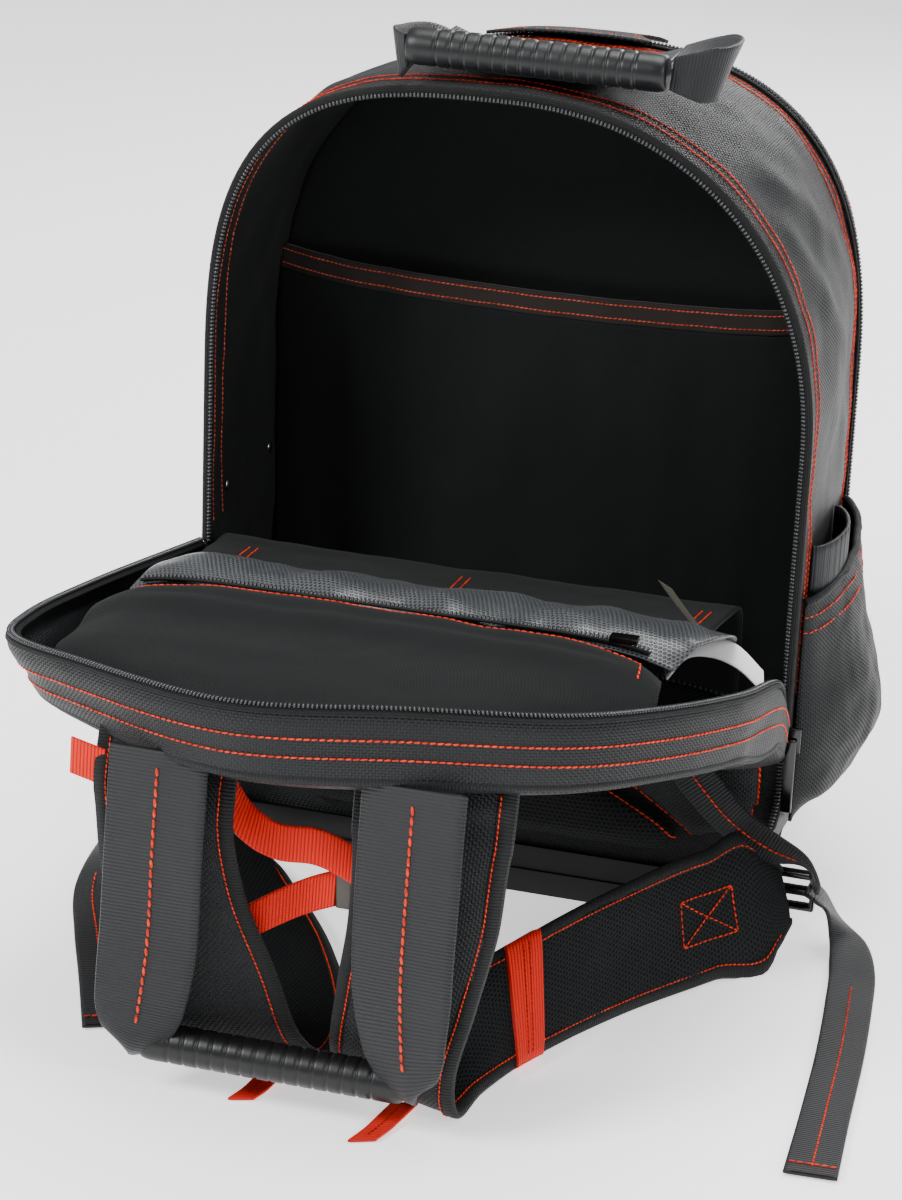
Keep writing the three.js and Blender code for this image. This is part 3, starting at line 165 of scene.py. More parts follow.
# out, up, left, right
NET_ROWS = [
    (0.53, 0.985, -0.47, 0.4),
    (0.47, 1.015, -0.46, 0.42),
    (0.39, 1.0, -0.45, 0.44),
    (0.31, 0.95, -0.44, 0.45),
    (0.24, 0.905, -0.43, 0.44),
]
# out, up, left, right
FLAP_ROWS = [
    (0.26, 0.88, -0.47, 0.39),
    (0.16, 0.868, -0.475, 0.395),
    (0.07, 0.857, -0.478, 0.4),
    (0, 0.842, -0.48, 0.405),
    (-0.03, 0.8, -0.48, 0.405),
    (-0.0305, 0.5, -0.48, 0.405),
]
# share of the outline, bow in millimetres
FRONT_FACE_RINGS = [
    (0.985, 0.6),
    (0.95, 1.4),
    (0.88, 2.2),
    (0.72, 2.9),
    (0.45, 3),
    (0.22, 3),
    (0, 3),
]
# across from -1 to 1, height in millimetres
BINDING_SECTION = [
    (0.8, 3.3),
    (0.93, 3.1),
    (1.02, 2.2),
    (1.045, 0),
    (1.02, -2.2),
    (0.93, -3.1),
    (0.8, -3.3),
]
# radius, depth below the head's top, both in millimetres
RIVET_PROFILE = [
    (0.01, 0),
    (1.6, 0.12),
    (2.9, 0.5),
    (3.7, 1.1),
    (4, 1.6),
    (1.6, 1.6),
]
# x and z in millimetres of both ends of each row of stitches on the right wing
WING_ROWS = [
    (161, 148, 170, 62),
    (171, 148, 181, 68),
    (66, 88, 124, 53),
    (62, 84, 120, 48),
]
# Middle lines of the straps and webs, each row: across, out, up, width, heading, tilt
STRAP_RIGHT_RUN = [
    (0.125, 0.86, 0.83, 1.12, 2, 0),
    (0.132, 0.91, 0.7, 1.1, 2, 0),
    (0.125, 0.915, 0.5, 1.04, 0, 0),
    (0.1, 0.905, 0.3, 1, -4, 0),
    (0.08, 0.89, 0.12, 0.95, -10, 0),
    (0.092, 0.85, 0.036, 0.92, -24, -2),
    (0.145, 0.72, 0.092, 0.9, -52, -32),
    (0.235, 0.54, 0.128, 0.9, -70, -54),
    (0.325, 0.36, 0.138, 0.94, -70, -58),
    (0.42, 0.2, 0.142, 0.96, -60, -58),
    (0.5, 0.11, 0.15, 0.82, -50, -60),
    (0.53, 0.085, 0.155, 0.45, -50, -60),
]
STRAP_LEFT_RUN = [
    (-0.285, 0.86, 0.83, 1.02, 2, 0),
    (-0.28, 0.91, 0.7, 1, 2, 0),
    (-0.265, 0.91, 0.5, 1, 4, 0),
    (-0.225, 0.895, 0.3, 1.06, 6, 0),
    (-0.19, 0.875, 0.12, 1.08, 10, 0),
    (-0.16, 0.82, 0.028, 1.08, 16, 2),
    (-0.165, 0.69, 0.042, 1.05, 24, -6),
    (-0.235, 0.5, 0.07, 1.02, 32, -14),
    (-0.345, 0.31, 0.085, 1, 36, -18),
    (-0.45, 0.17, 0.1, 0.9, 38, -20),
    (-0.5, 0.12, 0.11, 0.5, 38, -20),
]
HANDLE_WEB_LEFT_RUN = [
    (-0.272, 0.955, 0.84, 1.02, 0, 0),
    (-0.275, 0.972, 0.6, 1.02, 0, 0),
    (-0.28, 0.978, 0.38, 1.02, 2, 0),
    (-0.292, 0.985, 0.22, 0.9, 8, -8),
    (-0.305, 0.98, 0.13, 0.62, 20, -24),
    (-0.31, 0.955, 0.1, 0.4, 40, -50),
]
HANDLE_WEB_RIGHT_RUN = [
    (0.118, 0.965, 0.85, 1.04, 0, 0),
    (0.116, 0.982, 0.6, 1.04, 0, 0),
    (0.114, 0.985, 0.38, 1.02, -2, 0),
    (0.122, 0.99, 0.22, 0.86, -8, 8),
    (0.13, 0.98, 0.13, 0.6, -20, 24),
    (0.13, 0.955, 0.1, 0.4, -40, 50),
]
LOWER_WEB_RIGHT_RUN = [
    (0.3, 0.03, 0.5, 1, -8, 38),
    (0.36, 0.045, 0.405, 1, -12, 42),
    (0.43, 0.075, 0.325, 1, -30, 52),
    (0.5, 0.1, 0.285, 1, -50, 56),
    (0.555, 0.105, 0.265, 1, -64, 30),
    (0.576, 0.095, 0.225, 1, -70, 8),
    (0.572, 0.07, 0.185, 1, -70, 0),
]
TAIL_RIGHT_RUN = [
    (0.56, 0.055, 0.165, 1, 92, -8),
    (0.582, 0.06, 0.15, 1, 92, -8),
    (0.605, 0.05, 0.1, 1, 80, -30),
    (0.632, 0.05, 0.04, 1, 45, -20),
    (0.655, 0.13, 0.012, 1, 15, -4),
    (0.672, 0.27, 0.011, 1, 3, 0),
    (0.688, 0.45, 0.011, 1, -1, 0),
    (0.7, 0.65, 0.011, 1, 0, 0),
    (0.712, 0.86, 0.011, 1.06, 3, 0),
]
LOWER_WEB_LEFT_RUN = [
    (-0.42, 0.055, 0.36, 1, 60, 24),
    (-0.47, 0.075, 0.29, 1, 60, 26),
    (-0.53, 0.09, 0.24, 1, 62, 16),
    (-0.565, 0.1, 0.2, 1, 66, 4),
    (-0.575, 0.1, 0.165, 1, 70, 0),
]
TAIL_LEFT_RUN = [
    (-0.575, 0.07, 0.14, 1, -70, 30),
    (-0.598, 0.12, 0.14, 1, -50, 40),
    (-0.615, 0.2, 0.09, 1, -30, 30),
    (-0.605, 0.32, 0.025, 1, -14, 8),
    (-0.545, 0.47, 0.011, 1, 10, 0),
    (-0.473, 0.64, 0.011, 1, 22, 0),
    (-0.412, 0.785, 0.011, 1.06, 26, 0),
]
CHEST_UPPER_RUN = [
    (-0.2, 0.87, 0.72, 1, 82, 20),
    (-0.165, 0.862, 0.64, 1, 84, 50),
    (-0.12, 0.855, 0.6, 1, 90, 80),
    (-0.06, 0.855, 0.602, 1, 96, 80),
    (-0.02, 0.855, 0.585, 1, 100, 70),
    (0.03, 0.86, 0.55, 1, 100, 50),
]
CHEST_LOWER_RUN = [
    (-0.2, 0.885, 0.355, 1, 100, 74),
    (-0.14, 0.87, 0.42, 1, 100, 78),
    (-0.08, 0.84, 0.465, 1, 98, 78),
    (-0.03, 0.84, 0.5, 1, 96, 76),
]
TAB_UPPER_LEFT_RUN = [
    (-0.375, 0.9, 0.74, 1, 90, 84),
    (-0.43, 0.9, 0.76, 1, 90, 84),
]
TAB_FLOOR_LEFT_RUN = [
    (-0.1, 0.81, 0.036, 0.7, 20, 0),
    (-0.115, 0.86, 0.03, 0.7, 20, 0),
    (-0.13, 0.905, 0.012, 0.7, 20, 0),
    (-0.142, 0.94, 0.008, 0.7, 20, 0),
]
TAB_FLOOR_RIGHT_RUN = [
    (0.095, 0.87, 0.014, 0.75, 24, 0),
    (0.087, 0.92, 0.014, 0.75, 24, 0),
    (0.078, 0.96, 0.01, 0.75, 24, 0),
    (0.066, 1, 0.008, 0.75, 24, 0),
]
LABEL_RUN = [
    (0.34, 0.285, 0.81, 1, -70, -14),
    (0.372, 0.285, 0.88, 1, -70, -34),
    (0.412, 0.285, 0.892, 1, -70, -42),
    (0.455, 0.29, 0.875, 1, -72, -42),
    (0.498, 0.295, 0.825, 1, -74, -36),
]
RIBBON_RUN = [
    (0.324, 0.25, 1.01, 0.62, 10, -30),
    (0.352, 0.25, 0.96, 0.62, 10, -30),
    (0.39, 0.25, 0.9, 0.62, 10, -30),
]
# up, bulge, near, far
SIDE_POCKET_ROWS = [
    (0, -0.09, 0.12, 0.88),
    (0.14, 0.68, 0.09, 0.91),
    (0.42, 1, 0.06, 0.93),
    (0.72, 0.66, 0.06, 0.93),
    (1, 0.42, 0.06, 0.93),
]
TOP_WEB_RUN = [
    (-0.16, -0.22, 1.03, 0.9, 90, 0),
    (-0.07, -0.24, 1.005, 0.95, 90, 0),
    (0.02, -0.24, 1.003, 0.95, 90, 0),
    (0.1, -0.24, 1.005, 0.95, 90, 0),
    (0.22, -0.22, 1.03, 0.9, 90, 0),
]
TOP_WEB_LEFT_RUN = [
    (-0.16, -0.2, 1.027, 0.6, 90, 6),
    (-0.188, -0.17, 1.026, 0.5, 96, 34),
    (-0.202, -0.06, 1.024, 0.48, 130, 66),
    (-0.2, 0.06, 1.024, 0.5, 160, 80),
    (-0.181, 0.1, 1.03, 0.35, 160, 84),
]
TOP_WEB_RIGHT_RUN = [
    (0.223, -0.21, 1.031, 0.92, 90, 4),
    (0.28, -0.19, 1.034, 0.85, 84, 24),
    (0.315, -0.1, 1.034, 0.68, 50, 58),
    (0.317, 0.03, 1.034, 0.6, 20, 76),
    (0.285, 0.095, 1.034, 0.52, 10, 82),
    (0.245, 0.1, 1.034, 0.35, 10, 84),
]

SECTIONS = [(row[0] * REAR_DEPTH, *row[1:]) for row in REAR_SECTIONS]
SECTIONS += [(REAR_DEPTH + row[0] * FRONT_DEPTH, *row[1:]) for row in FRONT_SECTIONS[1:]]
WIDEST = max(row[1] for row in REAR_SECTIONS)
PANEL_FRAME = (BODY_WIDTH, PANEL_REACH, PANEL_LEVEL)
TOP_FRAME = (BODY_WIDTH, REAR_DEPTH, BODY_HEIGHT)

wall_low, wall_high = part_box("body_wall")
ORIGIN = Vector((wall_high.x - BODY_WIDTH * WIDEST / 2 * MM, wall_low.y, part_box("base_tray")[0].z))


def at(point):
    """A point in the bag's own millimetres as a place in the scene."""
    return ORIGIN + Vector(point) * MM


def mix(a, b, share):
    return a + (b - a) * share


def smooth(share):
    share = min(1, max(0, share))
    return share * share * (3 - 2 * share)


# ---- finishes
def hex_colour(text):
    """An sRGB hex colour as the linear values that a socket takes."""
    channels = [int(text[i:i + 2], 16) / 255 for i in (1, 3, 5)]
    return [c / 12.92 if c <= 0.04045 else ((c + 0.055) / 1.055) ** 2.4 for c in channels] + [1]


def add(tree, kind, values=(), links=(), **settings):
    """A shader node with its settings, its input values and what is linked to it."""
    made = tree.nodes.new(kind)
    for key, value in settings.items():
        setattr(made, key, value)
    for key, value in dict(values).items():
        made.inputs[key].default_value = value
    for key, socket in dict(links).items():
        tree.links.new(socket, made.inputs[key])
    return made


def finish_named(name, colour, roughness, **sockets):
    """A material with its colour and roughness; returns it, its tree and its shader."""
    made = bpy.data.materials.new(name)
    made.use_nodes = True
    tree = made.node_tree
    shader = tree.nodes["Principled BSDF"]
    shader.inputs["Base Color"].default_value = hex_colour(colour)
    shader.inputs["Roughness"].default_value = roughness
    for key, value in sockets.items():
        shader.inputs[key.replace("_", " ")].default_value = value
    made.diffuse_color = hex_colour(colour)
    return made, tree, shader


def math_node(tree, operation, a, b=None):
    values, links = {}, {}
    for key, value in ((0, a), (1, b)):
        if value is not None:
            (values if isinstance(value, (int, float)) else links)[key] = value
    return add(tree, "ShaderNodeMath", values, links, operation=operation).outputs[0]


def humps(tree, value):
    """A row of rounded humps from 0 to 1, one to each whole number."""
    return math_node(tree, "ABSOLUTE", math_node(tree, "SINE", math_node(tree, "MULTIPLY", value, math.pi)))


def speckle(tree, scale, detail):
    """Soft random spots from 0 to 1, fixed to the piece."""
    source = add(tree, "ShaderNodeTexCoord").outputs["Object"]
    values = {"Scale": scale, "Detail": detail}
    return add(tree, "ShaderNodeTexNoise", values, {"Vector": source}).outputs["Fac"]


def ramped(tree, shader, level, low, high, dark, light):
    """Base colour from dark where level is low to light where it is high."""
    ramp = add(tree, "ShaderNodeValToRGB", links={0: level})
    for element, position, colour in zip(ramp.color_ramp.elements, (low, high), (dark, light)):
        element.position = position
        element.color = hex_colour(colour)
    tree.links.new(ramp.outputs[0], shader.inputs["Base Color"])


def place_on(tree, coordinates, pitch):
    """Coordinates counted in repeats of a pitch in millimetres, split into two directions."""
    source = add(tree, "ShaderNodeTexCoord").outputs[coordinates]
    scale = 1 / (pitch * MM)
    scaled = add(tree, "ShaderNodeMapping", {"Scale": (scale, scale, scale)}, {"Vector": source})
    parts = add(tree, "ShaderNodeSeparateXYZ", links={0: scaled.outputs[0]})
    second = parts.outputs["Z"] if coordinates == "Object" else parts.outputs["Y"]
    return parts.outputs["X"], second


def woven(tree, across, along):
    """Height of a plain weave: yarns that pass over and under each other, from 0 to 1."""
    count = math_node(tree, "ADD", math_node(tree, "FLOOR", across), math_node(tree, "FLOOR", along))
    over = math_node(tree, "MODULO", math_node(tree, "ABSOLUTE", count), 2)
    under = math_node(tree, "SUBTRACT", 1, over)
    first = math_node(tree, "MULTIPLY", over, math_node(tree, "POWER", humps(tree, across), 0.7))
    second = math_node(tree, "MULTIPLY", under, math_node(tree, "POWER", humps(tree, along), 0.7))
    return math_node(tree, "ADD", first, second)


def painted_light_and_tone(tree, shader, height, dark, light):
    """Colour from dark in the hollows to light on the crests of a pattern, with a soft mottling over it. On
    the weaves, ribs and spacer mesh the dark hollows are painted shade and the light crests painted
    highlight; the dark holes of the net are the cloth under it, and the mottling is an uneven tone.
    """
    mottle = math_node(tree, "MULTIPLY", math_node(tree, "SUBTRACT", speckle(tree, 14, 3), 0.5), 0.5)
    ramped(tree, shader, math_node(tree, "ADD", height, mottle), 0, 1, dark, light)


def bumped(tree, shader, height, depth):
    """Relief of a pattern, its depth in millimetres."""
    bump = add(tree, "ShaderNodeBump", {"Strength": 1.0, "Distance": depth * MM}, {"Height": height})
    tree.links.new(bump.outputs[0], shader.inputs["Normal"])


def cloth_finish(name, pitch, dark, light, roughness, depth, sheen, coordinates="UV", gloss=0.22):
    """Woven cloth: pitch is the width of one yarn crossing in millimetres."""
    made, tree, shader = finish_named(name, dark, roughness, Sheen_Weight=sheen, Sheen_Roughness=0.45,
                                      Specular_IOR_Level=gloss)
    across, along = place_on(tree, coordinates, pitch)
    height = woven(tree, across, along)
    # Painted highlight on the crests of the weave and painted shade in its hollows, with a mottled tone
    painted_light_and_tone(tree, shader, height, dark, light)
    bumped(tree, shader, height, depth)
    return made


# 1680-denier ballistic nylon, woven from thick twisted yarns: matt black with a coarse grain whose glint is
# painted highlight on the crests of the weave, with painted shade in its hollows.
# The real crossing is about 0.9 mm; it is drawn at 1.5 mm, because a finer one doesn't show.
shell_cloth = cloth_finish("ballistic_nylon", 1.5, "#030304", "#1c1e20", 0.5, 0.45, 0.02)
shell_cloth_flat = cloth_finish("ballistic_nylon_pad", 1.5, "#030304", "#1c1e20", 0.5, 0.45, 0.02, "Object")

# Brushed polyester lining, plain woven: dull charcoal with a fine grain, painted highlight on the crests of
# the weave and painted shade in its hollows
lining_cloth = cloth_finish("polyester_lining", 1.0, "#050606", "#101213", 0.85, 0.15, 0.03)

# Folded woven binding tape of the flat pocket's hem, greyed brown, with painted highlight on the crests of
# the weave and painted shade in its hollows
hem_tape = cloth_finish("hem_binding_tape", 1.1, "#14100f", "#2a2320", 0.8, 0.12, 0.08)

# Woven label and satin ribbon, with painted highlight on the crests of the weave and painted shade in its
# hollows
label_cloth = cloth_finish("label_satin", 0.8, "#e6e6e4", "#fdfdfd", 0.6, 0.05, 0.2)
ribbon_cloth = cloth_finish("grey_ribbon", 0.8, "#26251f", "#4d4b42", 0.7, 0.08, 0.1)


def ribbed_finish(name, dark, light, roughness, sheen, pitch=WEB_RIB):
    """Woven webbing or binding: ribs across its length, each of short slanting floats."""
    made, tree, shader = finish_named(name, dark, roughness, Sheen_Weight=sheen, Sheen_Roughness=0.4,
                                      Specular_IOR_Level=0.25)
    across, along = place_on(tree, "UV", pitch)
    slant = math_node(tree, "ADD", math_node(tree, "MULTIPLY", across, 2.2), along)
    height = math_node(tree, "MULTIPLY", math_node(tree, "POWER", humps(tree, along), 0.6),
                       math_node(tree, "ADD", math_node(tree, "MULTIPLY", humps(tree, slant), 0.4), 0.6))
    # Painted highlight on the crests of the ribs and painted shade between them, with a mottled tone
    painted_light_and_tone(tree, shader, height, dark, light)
    bumped(tree, shader, height, 0.45)
    return made


# Polypropylene webbing: black, a little shiny on the crests of its ribs, that shine painted as highlight
# there, with painted shade between the ribs
webbing = ribbed_finish("black_webbing", "#020202", "#25272a", 0.4, 0.02)
red_webbing = ribbed_finish("red_webbing", "#a00c01", "#f02204", 0.6, 0.03)
binding_tape = ribbed_finish("grosgrain_binding", "#040404", "#17191b", 0.6, 0.03, 1.8)


def holed_finish(name, pitch, thread, hole, roughness, depth, coordinates, gloss=0.2):
    """Open knitted cloth: rows of round holes set like a honeycomb, pitch apart in millimetres."""
    made, tree, shader = finish_named(name, thread, roughness, Specular_IOR_Level=gloss)
    across, along = place_on(tree, coordinates, pitch)
    tall = math_node(tree, "MULTIPLY", along, 1.155)
    row = math_node(tree, "FLOOR", tall)
    shift = math_node(tree, "MULTIPLY", math_node(tree, "MODULO", math_node(tree, "ABSOLUTE", row), 2), 0.5)
    a = math_node(tree, "SUBTRACT", math_node(tree, "FRACT", math_node(tree, "ADD", across, shift)), 0.5)
    b = math_node(tree, "SUBTRACT", math_node(tree, "FRACT", tall), 0.5)
    square = math_node(tree, "ADD", math_node(tree, "MULTIPLY", a, a), math_node(tree, "MULTIPLY", b, b))
    distance = math_node(tree, "SQRT", square)
    height = add(tree, "ShaderNodeMapRange", {1: 0.2, 2: 0.42, 3: 0, 4: 1}, {0: distance}).outputs[0]
    # The holes take the hole colour: painted shade in the spacer mesh, the dark cloth under it on the net
    painted_light_and_tone(tree, shader, height, hole, thread)
    bumped(tree, shader, height, depth)
    return made


# Spacer mesh of the pads: two knitted faces with a springy filling, dull, its holes darkened with painted
# shade
air_mesh = holed_finish("spacer_mesh", 3.0, "#151719", "#020202", 0.75, 0.7, "Object")
air_mesh_strap = holed_finish("spacer_mesh_strap", 2.8, "#16181a", "#020202", 0.75, 0.7, "UV")

# Knitted net of shiny monofilament over dark cloth: silver threads that catch the light
net_cloth = holed_finish("monofilament_net", 2.6, "#45484b", "#020202", 0.3, 0.6, "UV", gloss=0.6)


def moulded_finish(name, colour, roughness, grain, depth, **sockets):
    """Moulded plastic or rubber with a fine spark-eroded grain; grain is its size in millimetres."""
    made, tree, shader = finish_named(name, colour, roughness, **sockets)
    ends = {1: 0.3, 2: 0.7, 3: roughness - 0.06, 4: roughness + 0.08}
    rough = add(tree, "ShaderNodeMapRange", ends, {0: speckle(tree, 30, 4)})
    tree.links.new(rough.outputs[0], shader.inputs["Roughness"])
    bumped(tree, shader, speckle(tree, 1 / (grain * MM), 2), depth)
    return made


# Moulded thermoplastic rubber grips: dark grey, soft, evenly matt with a faint sheen
grip_rubber = moulded_finish("grip_rubber", "#0d0e10", 0.4, 0.7, 0.05, IOR=1.5, Specular_IOR_Level=0.35)

# Moulded polypropylene base: matt black with a fine grain
base_plastic = moulded_finish("polypropylene_base", "#060607", 0.42, 1.2, 0.08, IOR=1.49,
                              Specular_IOR_Level=0.3)

# Acetal sliders, pullers and ladder locks: glossy black
black_acetal = moulded_finish("black_acetal", "#040405", 0.2, 0.8, 0.01, IOR=1.48)
grey_acetal = moulded_finish("grey_acetal", "#3b352e", 0.35, 0.8, 0.01, IOR=1.48)

# Nylon coil of the zips: dark grey monofilament, smooth and shiny
coil_nylon = moulded_finish("zip_coil_nylon", "#2a2c2f", 0.2, 0.6, 0.01, IOR=1.53)
# Zip tape: painted highlight on the crests of its ribs and painted shade between them
zip_tape = ribbed_finish("zip_tape", "#040404", "#0f1011", 0.7, 0.02, 1.0)

# Nickel-plated rivet heads
nickel = moulded_finish("nickel_plate", "#c9cbcc", 0.22, 0.5, 0.01, Metallic=1.0)


def thread_finish(name, dark, light):
    """Bonded polyester sewing thread: three twisted plies with a dull shine."""
    made, tree, shader = finish_named(name, light, 0.5, Specular_IOR_Level=0.25)
    source = add(tree, "ShaderNodeTexCoord").outputs["Object"]
    ramped(tree, shader, speckle(tree, 260, 2), 0.35, 0.65, dark, light)
    ply = add(tree, "ShaderNodeTexWave", {"Scale": 700, "Distortion": 1.0}, {"Vector": source}).outputs["Fac"]
    bumped(tree, shader, ply, 0.15)
    return made


orange_thread = thread_finish("orange_thread", "#b82402", "#fa3c08")
salmon_thread = thread_finish("salmon_thread", "#a83a20", "#e0644a")
dark_thread = thread_finish("dark_red_thread", "#7c1204", "#b8200a")


# ---- curves and sections
def curve(points, share):
    """Centripetal Catmull-Rom curve through the points, as the solids use it."""
    last = len(points) - 1
    position = min(max(share, 0), 1) * last
    i = min(int(position), last - 1)
    weight = position - i
    p1, p2 = points[i], points[i + 1]
    p0 = points[i - 1] if i > 0 else p1 * 2 - p2
    p3 = points[i + 2] if i + 2 <= last else p2 * 2 - p1
    gaps = [max((b - a).length, 1e-9) ** 0.5 for a, b in ((p0, p1), (p1, p2), (p2, p3))]
    if gaps[1] < 1e-4:
        gaps[1] = 1.0
    gaps = [g if g >= 1e-4 else gaps[1] for g in gaps]
    d0, d1, d2 = gaps
    t1 = ((p1 - p0) / d0 - (p2 - p0) / (d0 + d1) + (p2 - p1) / d1) * d1
    t2 = ((p2 - p1) / d1 - (p3 - p1) / (d1 + d2) + (p3 - p2) / d2) * d1
    w2, w3 = weight * weight, weight ** 3
    return p1 + t1 * weight + (p2 * 3 - p1 * 3 - t1 * 2 - t2) * w2 + (p1 * 2 - p2 * 2 + t1 + t2) * w3


def share_place(across, out, up, scale=PANEL_FRAME):
    return Vector((across * scale[0], -out * scale[1], up * scale[2]))


def section_at(y):
    """Numbers of the bag's cross section at a depth, eased between the rows of the tables."""
    last = len(SECTIONS) - 1
    i = max(k for k in range(last) if k == 0 or SECTIONS[k][0] <= y)
    a, b = SECTIONS[i], SECTIONS[i + 1]
    before, after = SECTIONS[max(i - 1, 0)], SECTIONS[min(i + 2, last)]
    gap = b[0] - a[0]
    t = min(1, max(0, (y - a[0]) / gap))
    values = []
    for k in range(1, len(a)):
        m0 = (b[k] - before[k]) / (b[0] - before[0]) * gap
        m1 = (after[k] - a[k]) / (after[0] - a[0]) * gap
        values.append((2 * t**3 - 3 * t**2 + 1) * a[k] + (t**3 - 2 * t**2 + t) * m0
                      + (3 * t**2 - 2 * t**3) * b[k] + (t**3 - t**2) * m1)
    return values


FLOOR_STEPS, FOOT_STEPS, SIDE_STEPS, ARCH_STEPS = 12, 14, 26, 44
HALF_COUNT = FLOOR_STEPS + FOOT_STEPS + SIDE_STEPS + ARCH_STEPS
RING_COUNT = 2 * HALF_COUNT
arches = {}


def arch(square):
    """Evenly spaced points of a quarter arch of unit size, from its side to its top."""
    key = round(square, 3)
    if key not in arches:
        fine = [(math.cos(a) ** (2 / key), math.sin(a) ** (2 / key))
                for a in (i / 300 * math.pi / 2 * 0.99999 for i in range(301))]
        lengths = [0]
        for p, q in zip(fine, fine[1:]):
            lengths.append(lengths[-1] + math.dist(p, q))
        picked, j = [], 0
        for i in range(ARCH_STEPS):
            goal = lengths[-1] * i / ARCH_STEPS
            while lengths[j + 1] < goal:
                j += 1
            t = (goal - lengths[j]) / (lengths[j + 1] - lengths[j])
            picked.append((mix(fine[j][0], fine[j + 1][0], t), mix(fine[j][1], fine[j + 1][1], t)))
        arches[key] = picked
    return arches[key]


def ring(y, grow=0.0):
    """Outline of the bag at a depth as (x, z), from the middle of its floor up its right side and round."""
    width, top, apex, left, right, foot_left, foot_right, rise = section_at(y)
    floor = BASE_WALL + SEAM_GAP + BODY_HEIGHT * rise
    apex_x, top_z = BODY_WIDTH * apex, BODY_HEIGHT * top
    edge = BODY_WIDTH * width / 2

    def half(edge_x, foot, square):
        foot_top = floor + abs(foot) * FOOT_UPRIGHT
        points = [(mix(0, edge_x - foot, i / FLOOR_STEPS), floor) for i in range(FLOOR_STEPS)]
        for i in range(FOOT_STEPS):
            angle = i / FOOT_STEPS * math.pi / 2
            points.append((edge_x - foot * (1 - math.sin(angle)), mix(foot_top, floor, math.cos(angle))))
        points += [(edge_x, mix(foot_top, SHOULDER_HEIGHT, i / SIDE_STEPS)) for i in range(SIDE_STEPS)]
        points += [(mix(apex_x, edge_x, a), mix(SHOULDER_HEIGHT, top_z, b)) for a, b in arch(square)]
        return points

    right_side = half(edge, BODY_WIDTH * foot_right, right)
    left_side = half(-edge - SIDE_SWELL, -BODY_WIDTH * foot_left, left)
    points = right_side + [(apex_x, top_z)] + left_side[:0:-1]
    grown = []
    for i, (x, z) in enumerate(points):
        a, b = points[i - 1], points[(i + 1) % RING_COUNT]
        tx, tz = b[0] - a[0], b[1] - a[1]
        size = math.hypot(tx, tz) or 1
        grown.append((x + tz / size * grow, z - tx / size * grow))
    return grown


def index_at(y, height, side):
    """Number of the outline point nearest to a height on one side of the bag."""
    points = ring(y)
    numbers = range(FLOOR_STEPS, HALF_COUNT) if side > 0 else range(HALF_COUNT + 1, RING_COUNT - FLOOR_STEPS)
    return min(numbers, key=lambda i: abs(points[i][1] - height))


def round_line(y, grow, first, last):
    """A line on the bag round its outline at one depth."""
    points = ring(y, grow)
    return [Vector((points[i % RING_COUNT][0], y, points[i % RING_COUNT][1])) for i in range(first, last + 1)]


def inside_span(y, z, grow):
    """Left and right x of the outline at a height."""
    points = ring(y, grow)
    ends = []
    for numbers in (range(FLOOR_STEPS, HALF_COUNT + 1), range(RING_COUNT - FLOOR_STEPS, HALF_COUNT - 1, -1)):
        found = points[numbers[-1]][0]
        for i, j in zip(numbers, numbers[1:]):
            low, high = points[i][1], points[j][1]
            if low <= z <= high and high > low:
                found = mix(points[i][0], points[j][0], (z - low) / (high - low))
                break
        else:
            if z < points[numbers[0]][1]:
                found = points[numbers[0]][0]
        ends.append(found)
    return ends[1], ends[0]


# ---- making pieces
made_pieces = {}


def dress(piece, slot, *replaced):
    """The finished piece rides on the bag and stands for its solids, which are hidden; its slot is not used.
    """
    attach(piece, "root")
    if replaced:
        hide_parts(*replaced)
    made_pieces[piece.name] = piece
    return piece


def object_from(name, bm, *materials, shade=True):
    mesh = bpy.data.meshes.new(name)
    bm.to_mesh(mesh)
    bm.free()
    for material in materials:
        mesh.materials.append(material)
    if shade:
        mesh.polygons.foreach_set("use_smooth", [True] * len(mesh.polygons))
    made = bpy.data.objects.new(name, mesh)
    bpy.context.scene.collection.objects.link(made)
    return made


def lengths_of(points):
    total = [0.0]
    for a, b in zip(points, points[1:]):
        total.append(total[-1] + (b - a).length)
    return total


def crumple(point, size, seed):
    """Soft uneven relief from -1 to 1; size is that of its dents in millimetres."""
    return noise.fractal(point / size + Vector((seed * 7.3, seed * 3.1, seed * 5.7)), 0.9, 2.1, 3) * 1.2


def fold_line(point, start, end, width, depth):
    """Height of one pinched fold that runs from start to end and fades at its ends."""
    line = end - start
    t = (point - start).dot(line) / line.length_squared
    if not -0.25 < t < 1.25:
        return 0.0
    off = (point - start - line * min(1, max(0, t))).length
    fade = smooth((t + 0.25) / 0.5) * smooth((1.25 - t) / 0.5)
    return depth * math.exp(-((off / width) ** 2)) * fade


